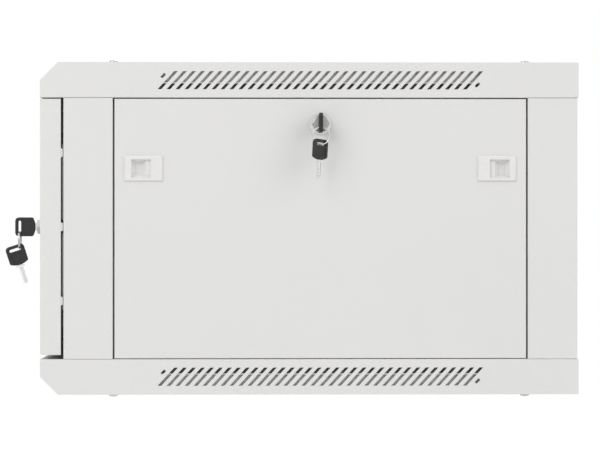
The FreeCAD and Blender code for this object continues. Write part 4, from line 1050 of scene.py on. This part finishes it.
@dataclass
class Door(SubAssembly):
    """The glass door with its buffers and its sprung hinge pins.

    The bracket that carries a spring and the clip that the spring presses on are placed from the
    inner end of their hinge pin.
    """

    bracket: float = 0.0055
    clip: float = 0.0253
    pin_pull: float = 0.008
    coil: float = 0.003
    wire: float = 0.0007
    clip_inner: float = 0.0022
    clip_outer: float = 0.0042
    clip_thick: float = 0.0006

    def build(self) -> None:
        """Builds a spring and a retaining clip on each hinge pin."""
        self.sprung("upper", 1)
        self.sprung("lower", -1)

    def sprung(self, end: str, up: int) -> None:
        """Builds one hinge pin's spring and its clip. The spring is built at rest; on the real door it
        is pressed when the pin is drawn.

        Args:
            end: Which pin it is, upper or lower.
            up: 1 where the pin points up, -1 where it points down.
        """
        low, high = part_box(f"{end}_hinge_pin")
        x, y = (0.5 * (low[k] + high[k]) for k in (0, 1))
        inner_end = low[2] if up > 0 else high[2]
        foot = (x, y, inner_end + up * self.bracket)
        long = self.clip - self.bracket
        spring = MetalShop.repeated(f"{end}_hinge_spring",
                                    CoilSpring(self.coil, self.wire, long).mesh(),
                                    [MetalShop.standing(foot, (0, 0, up))])
        self.add(spring, "door", Slot.ZINC, Slot.ZINC)
        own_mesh(spring)
        edges = ((self.clip_inner, 0.0), (self.clip_outer, 0.0),
                 (self.clip_outer, self.clip_thick), (self.clip_inner, self.clip_thick))
        place = MetalShop.standing((x, y, inner_end + up * self.clip), (0, 0, up))
        washer = MetalShop.repeated(f"{end}_hinge_clip",
                                    MetalShop.turned((*edges, edges[0])), [place])
        self.add(washer, f"{end}_pin", Slot.ZINC, Slot.ZINC)

    def special(self) -> dict[str, Special]:
        """Gives the door frame the same grey coat with a stronger painted shade deep in the gap behind
        it.
        """
        return {"door_frame": Special.DOOR_GAP_SHADE}

    def nodes(self) -> tuple[str, ...]:
        """Names the door's pieces."""
        return ("door_frame", "door_glass", "glass_gasket", "door_buffers",
                "upper_hinge_pin", "lower_hinge_pin")


@dataclass
class SidePanel(SubAssembly):
    """One side panel with its two slide latches."""

    side: Side = Side.RIGHT
    moulded_edge: float = 0.0002

    def latches(self) -> tuple[str, ...]:
        """Names the bezels and the sliders of the latches."""
        return named(self.side.value, "latch_bezels", "front_slider", "rear_slider")

    def nodes(self) -> tuple[str, ...]:
        """Names the panel and its latches."""
        return named(self.side.value, "side_panel") + self.latches()

    def softened(self) -> dict[str, float]:
        """Breaks the moulded edges of the latches."""
        return dict.fromkeys(self.latches(), self.moulded_edge)


@dataclass
class CamLock(SubAssembly):
    """A cam lock, and its two keys on a ring where it has them."""

    carrier: str = "door"
    keyed: bool = True
    housing_edge: float = 0.0002
    nut_edge: float = 0.0003

    def nodes(self) -> tuple[str, ...]:
        """Names the lock's pieces and its keys.

        Returns:
            Their names.
        """
        lock = ("lock_body", "lock_nut", "lock_plug", "lock_cam")
        keys = ("key_blade", "key_bow", "key_ring", "spare_blade", "spare_bow")
        return named(self.carrier, *lock, *(keys if self.keyed else ()))

    def special(self) -> dict[str, Special]:
        """Gives the housing its chrome with painted shade on the head, and the plug and ring their own
        steel.

        Returns:
            The finish of each such node.
        """
        finishes = {f"{self.carrier}_lock_body": Special[f"{self.carrier.upper()}_LOCK"],
                    f"{self.carrier}_lock_plug": Special.PLUG}
        if self.keyed:
            finishes[f"{self.carrier}_key_ring"] = Special.RING
        return finishes

    def softened(self) -> dict[str, float]:
        """Breaks the edges of the lock's housing and nut."""
        return {f"{self.carrier}_lock_body": self.housing_edge,
                f"{self.carrier}_lock_nut": self.nut_edge}


@dataclass(frozen=True)
class Lamp:
    """One large soft square lamp. Its place and side are in metres, its power in watts."""

    name: str
    spot: Point
    side: float
    power: float

    def hang(self, aim: Point) -> None:
        """Hangs the lamp so that it faces a point.

        Args:
            aim: The point.
        """
        light = bpy.data.lights.new(self.name, "AREA")
        light.size = self.side
        light.energy = self.power
        lamp = bpy.data.objects.new(self.name, light)
        bpy.context.scene.collection.objects.link(lamp)
        lamp.location = self.spot
        way = Vector(aim) - Vector(self.spot)
        lamp.rotation_euler = way.to_track_quat("-Z", "Y").to_euler()


@dataclass(frozen=True)
class Studio:
    """The camera, the soft lamps, the white surroundings and the pale floor.

    Sizes are in metres and angles in degrees, the lens and the film's width in millimetres.
    """

    aim: Point = (0.3, -0.3108, 0.0038)
    distance: float = 2.4
    lens: float = 129.35
    film: float = 36.0
    sight: float = 60.0
    yaw: float = -0.8
    lamp_aim: Point = (0.0, -0.3, 0.0)
    floor_level: float = -0.75
    floor_reach: float = 45.0
    floor_grey: float = 0.82
    floor_glow: float = 1.14
    floor_glow_share: float = 0.82
    fill: float = 0.56
    lamps: tuple[Lamp, ...] = (
        Lamp("window_lamp", (2.7, -2.1, 1.9), 2.2, 46.0),
        Lamp("front_lamp", (-1.6, -3.2, 1.2), 2.0, 26.0),
        Lamp("rear_lamp", (2.4, 2.6, 1.5), 2.2, 32.0),
        Lamp("left_lamp", (-3.0, 0.4, 1.0), 2.4, 26.0),
        Lamp("sky_lamp", (0.2, -0.3, 3.4), 3.0, 10.0),
    )

    def build(self) -> None:
        """Sets up the whole studio."""
        self.camera()
        self.surroundings()
        self.floor()
        for lamp in self.lamps:
            lamp.hang(self.lamp_aim)
        bpy.context.scene.view_settings.view_transform = "Standard"

    def camera(self) -> None:
        """Stands the camera square to the cabinet's right side."""
        eye = bpy.data.cameras.new("picture_camera")
        eye.lens = self.lens
        eye.sensor_width = self.film
        eye.clip_end = self.sight
        camera = bpy.data.objects.new("picture_camera", eye)
        bpy.context.scene.collection.objects.link(camera)
        turn = math.radians(self.yaw)
        away = Vector((math.cos(turn), math.sin(turn), 0.0)) * self.distance
        camera.location = Vector(self.aim) + away
        camera.rotation_euler = (-away).to_track_quat("-Z", "Y").to_euler()
        bpy.context.scene.camera = camera

    def surroundings(self) -> None:
        """Makes a white world that lights the object more softly than it looks."""
        world = bpy.data.worlds.new("white_room")
        world.use_nodes = True
        tree = world.node_tree
        tree.nodes.clear()
        seen = tree.nodes.new("ShaderNodeBackground")
        seen.inputs["Color"].default_value = WHITE
        light = tree.nodes.new("ShaderNodeBackground")
        light.inputs["Color"].default_value = WHITE
        light.inputs["Strength"].default_value = self.fill
        mix = tree.nodes.new("ShaderNodeMixShader")
        output = tree.nodes.new("ShaderNodeOutputWorld")
        tree.links.new(self.directly_seen(tree), mix.inputs["Fac"])
        tree.links.new(light.outputs["Background"], mix.inputs[1])
        tree.links.new(seen.outputs["Background"], mix.inputs[2])
        tree.links.new(mix.outputs["Shader"], output.inputs["Surface"])
        bpy.context.scene.world = world

    def directly_seen(self, tree: bpy.types.NodeTree) -> bpy.types.NodeSocket:
        """Tells whether a ray comes from the camera, a glossy face or a pane of glass.

        Args:
            tree: The node tree that asks.

        Returns:
            A socket that is 1 for such a ray.
        """
        path = tree.nodes.new("ShaderNodeLightPath")
        socket = path.outputs["Is Camera Ray"]
        for other in ("Is Glossy Ray", "Is Transmission Ray"):
            larger = tree.nodes.new("ShaderNodeMath")
            larger.operation = "MAXIMUM"
            tree.links.new(socket, larger.inputs[0])
            tree.links.new(path.outputs[other], larger.inputs[1])
            socket = larger.outputs[0]
        return socket

    def floor(self) -> None:
        """Lays a plain pale floor that keeps the cabinet's soft shadow."""
        reach = self.floor_reach
        mesh = bpy.data.meshes.new("floor")
        corners = [(x * reach, y * reach, self.floor_level)
                   for x, y in ((-1, -1), (1, -1), (1, 1), (-1, 1))]
        mesh.from_pydata(corners, [], [(0, 1, 2, 3)])
        floor = bpy.data.objects.new("floor", mesh)
        bpy.context.scene.collection.objects.link(floor)
        mesh.materials.append(self.floor_finish())

    def floor_finish(self) -> bpy.types.Material:
        """Makes the floor's white, which shows shadows but no horizon.

        Returns:
            The floor's material.
        """
        material = bpy.data.materials.new("pale_floor")
        material.use_nodes = True
        tree = material.node_tree
        tree.nodes.clear()
        matt = tree.nodes.new("ShaderNodeBsdfDiffuse")
        matt.inputs["Color"].default_value = (*(self.floor_grey,) * 3, 1.0)
        white = tree.nodes.new("ShaderNodeEmission")
        white.inputs["Color"].default_value = WHITE
        white.inputs["Strength"].default_value = self.floor_glow
        share = tree.nodes.new("ShaderNodeMath")
        share.operation = "MULTIPLY"
        share.inputs[1].default_value = self.floor_glow_share
        mix = tree.nodes.new("ShaderNodeMixShader")
        output = tree.nodes.new("ShaderNodeOutputMaterial")
        tree.links.new(self.directly_seen(tree), share.inputs[0])
        tree.links.new(share.outputs[0], mix.inputs["Fac"])
        tree.links.new(matt.outputs["BSDF"], mix.inputs[1])
        tree.links.new(white.outputs["Emission"], mix.inputs[2])
        tree.links.new(mix.outputs["Shader"], output.inputs["Surface"])
        return material


def main() -> None:
    """Dresses every sub-assembly of the cabinet."""
    logging.basicConfig(level=logging.INFO, format="%(name)s: %(message)s")
    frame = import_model()
    shop = PaintShop(frame["record"])
    assemblies = (
        Covers(frame, shop),
        BackWall(frame, shop),
        SideFrame(frame, shop, side=Side.RIGHT),
        SideFrame(frame, shop, side=Side.LEFT),
        Fixings(frame, shop),
        Door(frame, shop),
        SidePanel(frame, shop, side=Side.RIGHT),
        SidePanel(frame, shop, side=Side.LEFT),
        CamLock(frame, shop, carrier="door"),
        CamLock(frame, shop, carrier="right"),
        CamLock(frame, shop, carrier="left", keyed=False),
    )
    for assembly in assemblies:
        assembly.dress()
    Studio().build()


if __name__ == "__main__":
    main()
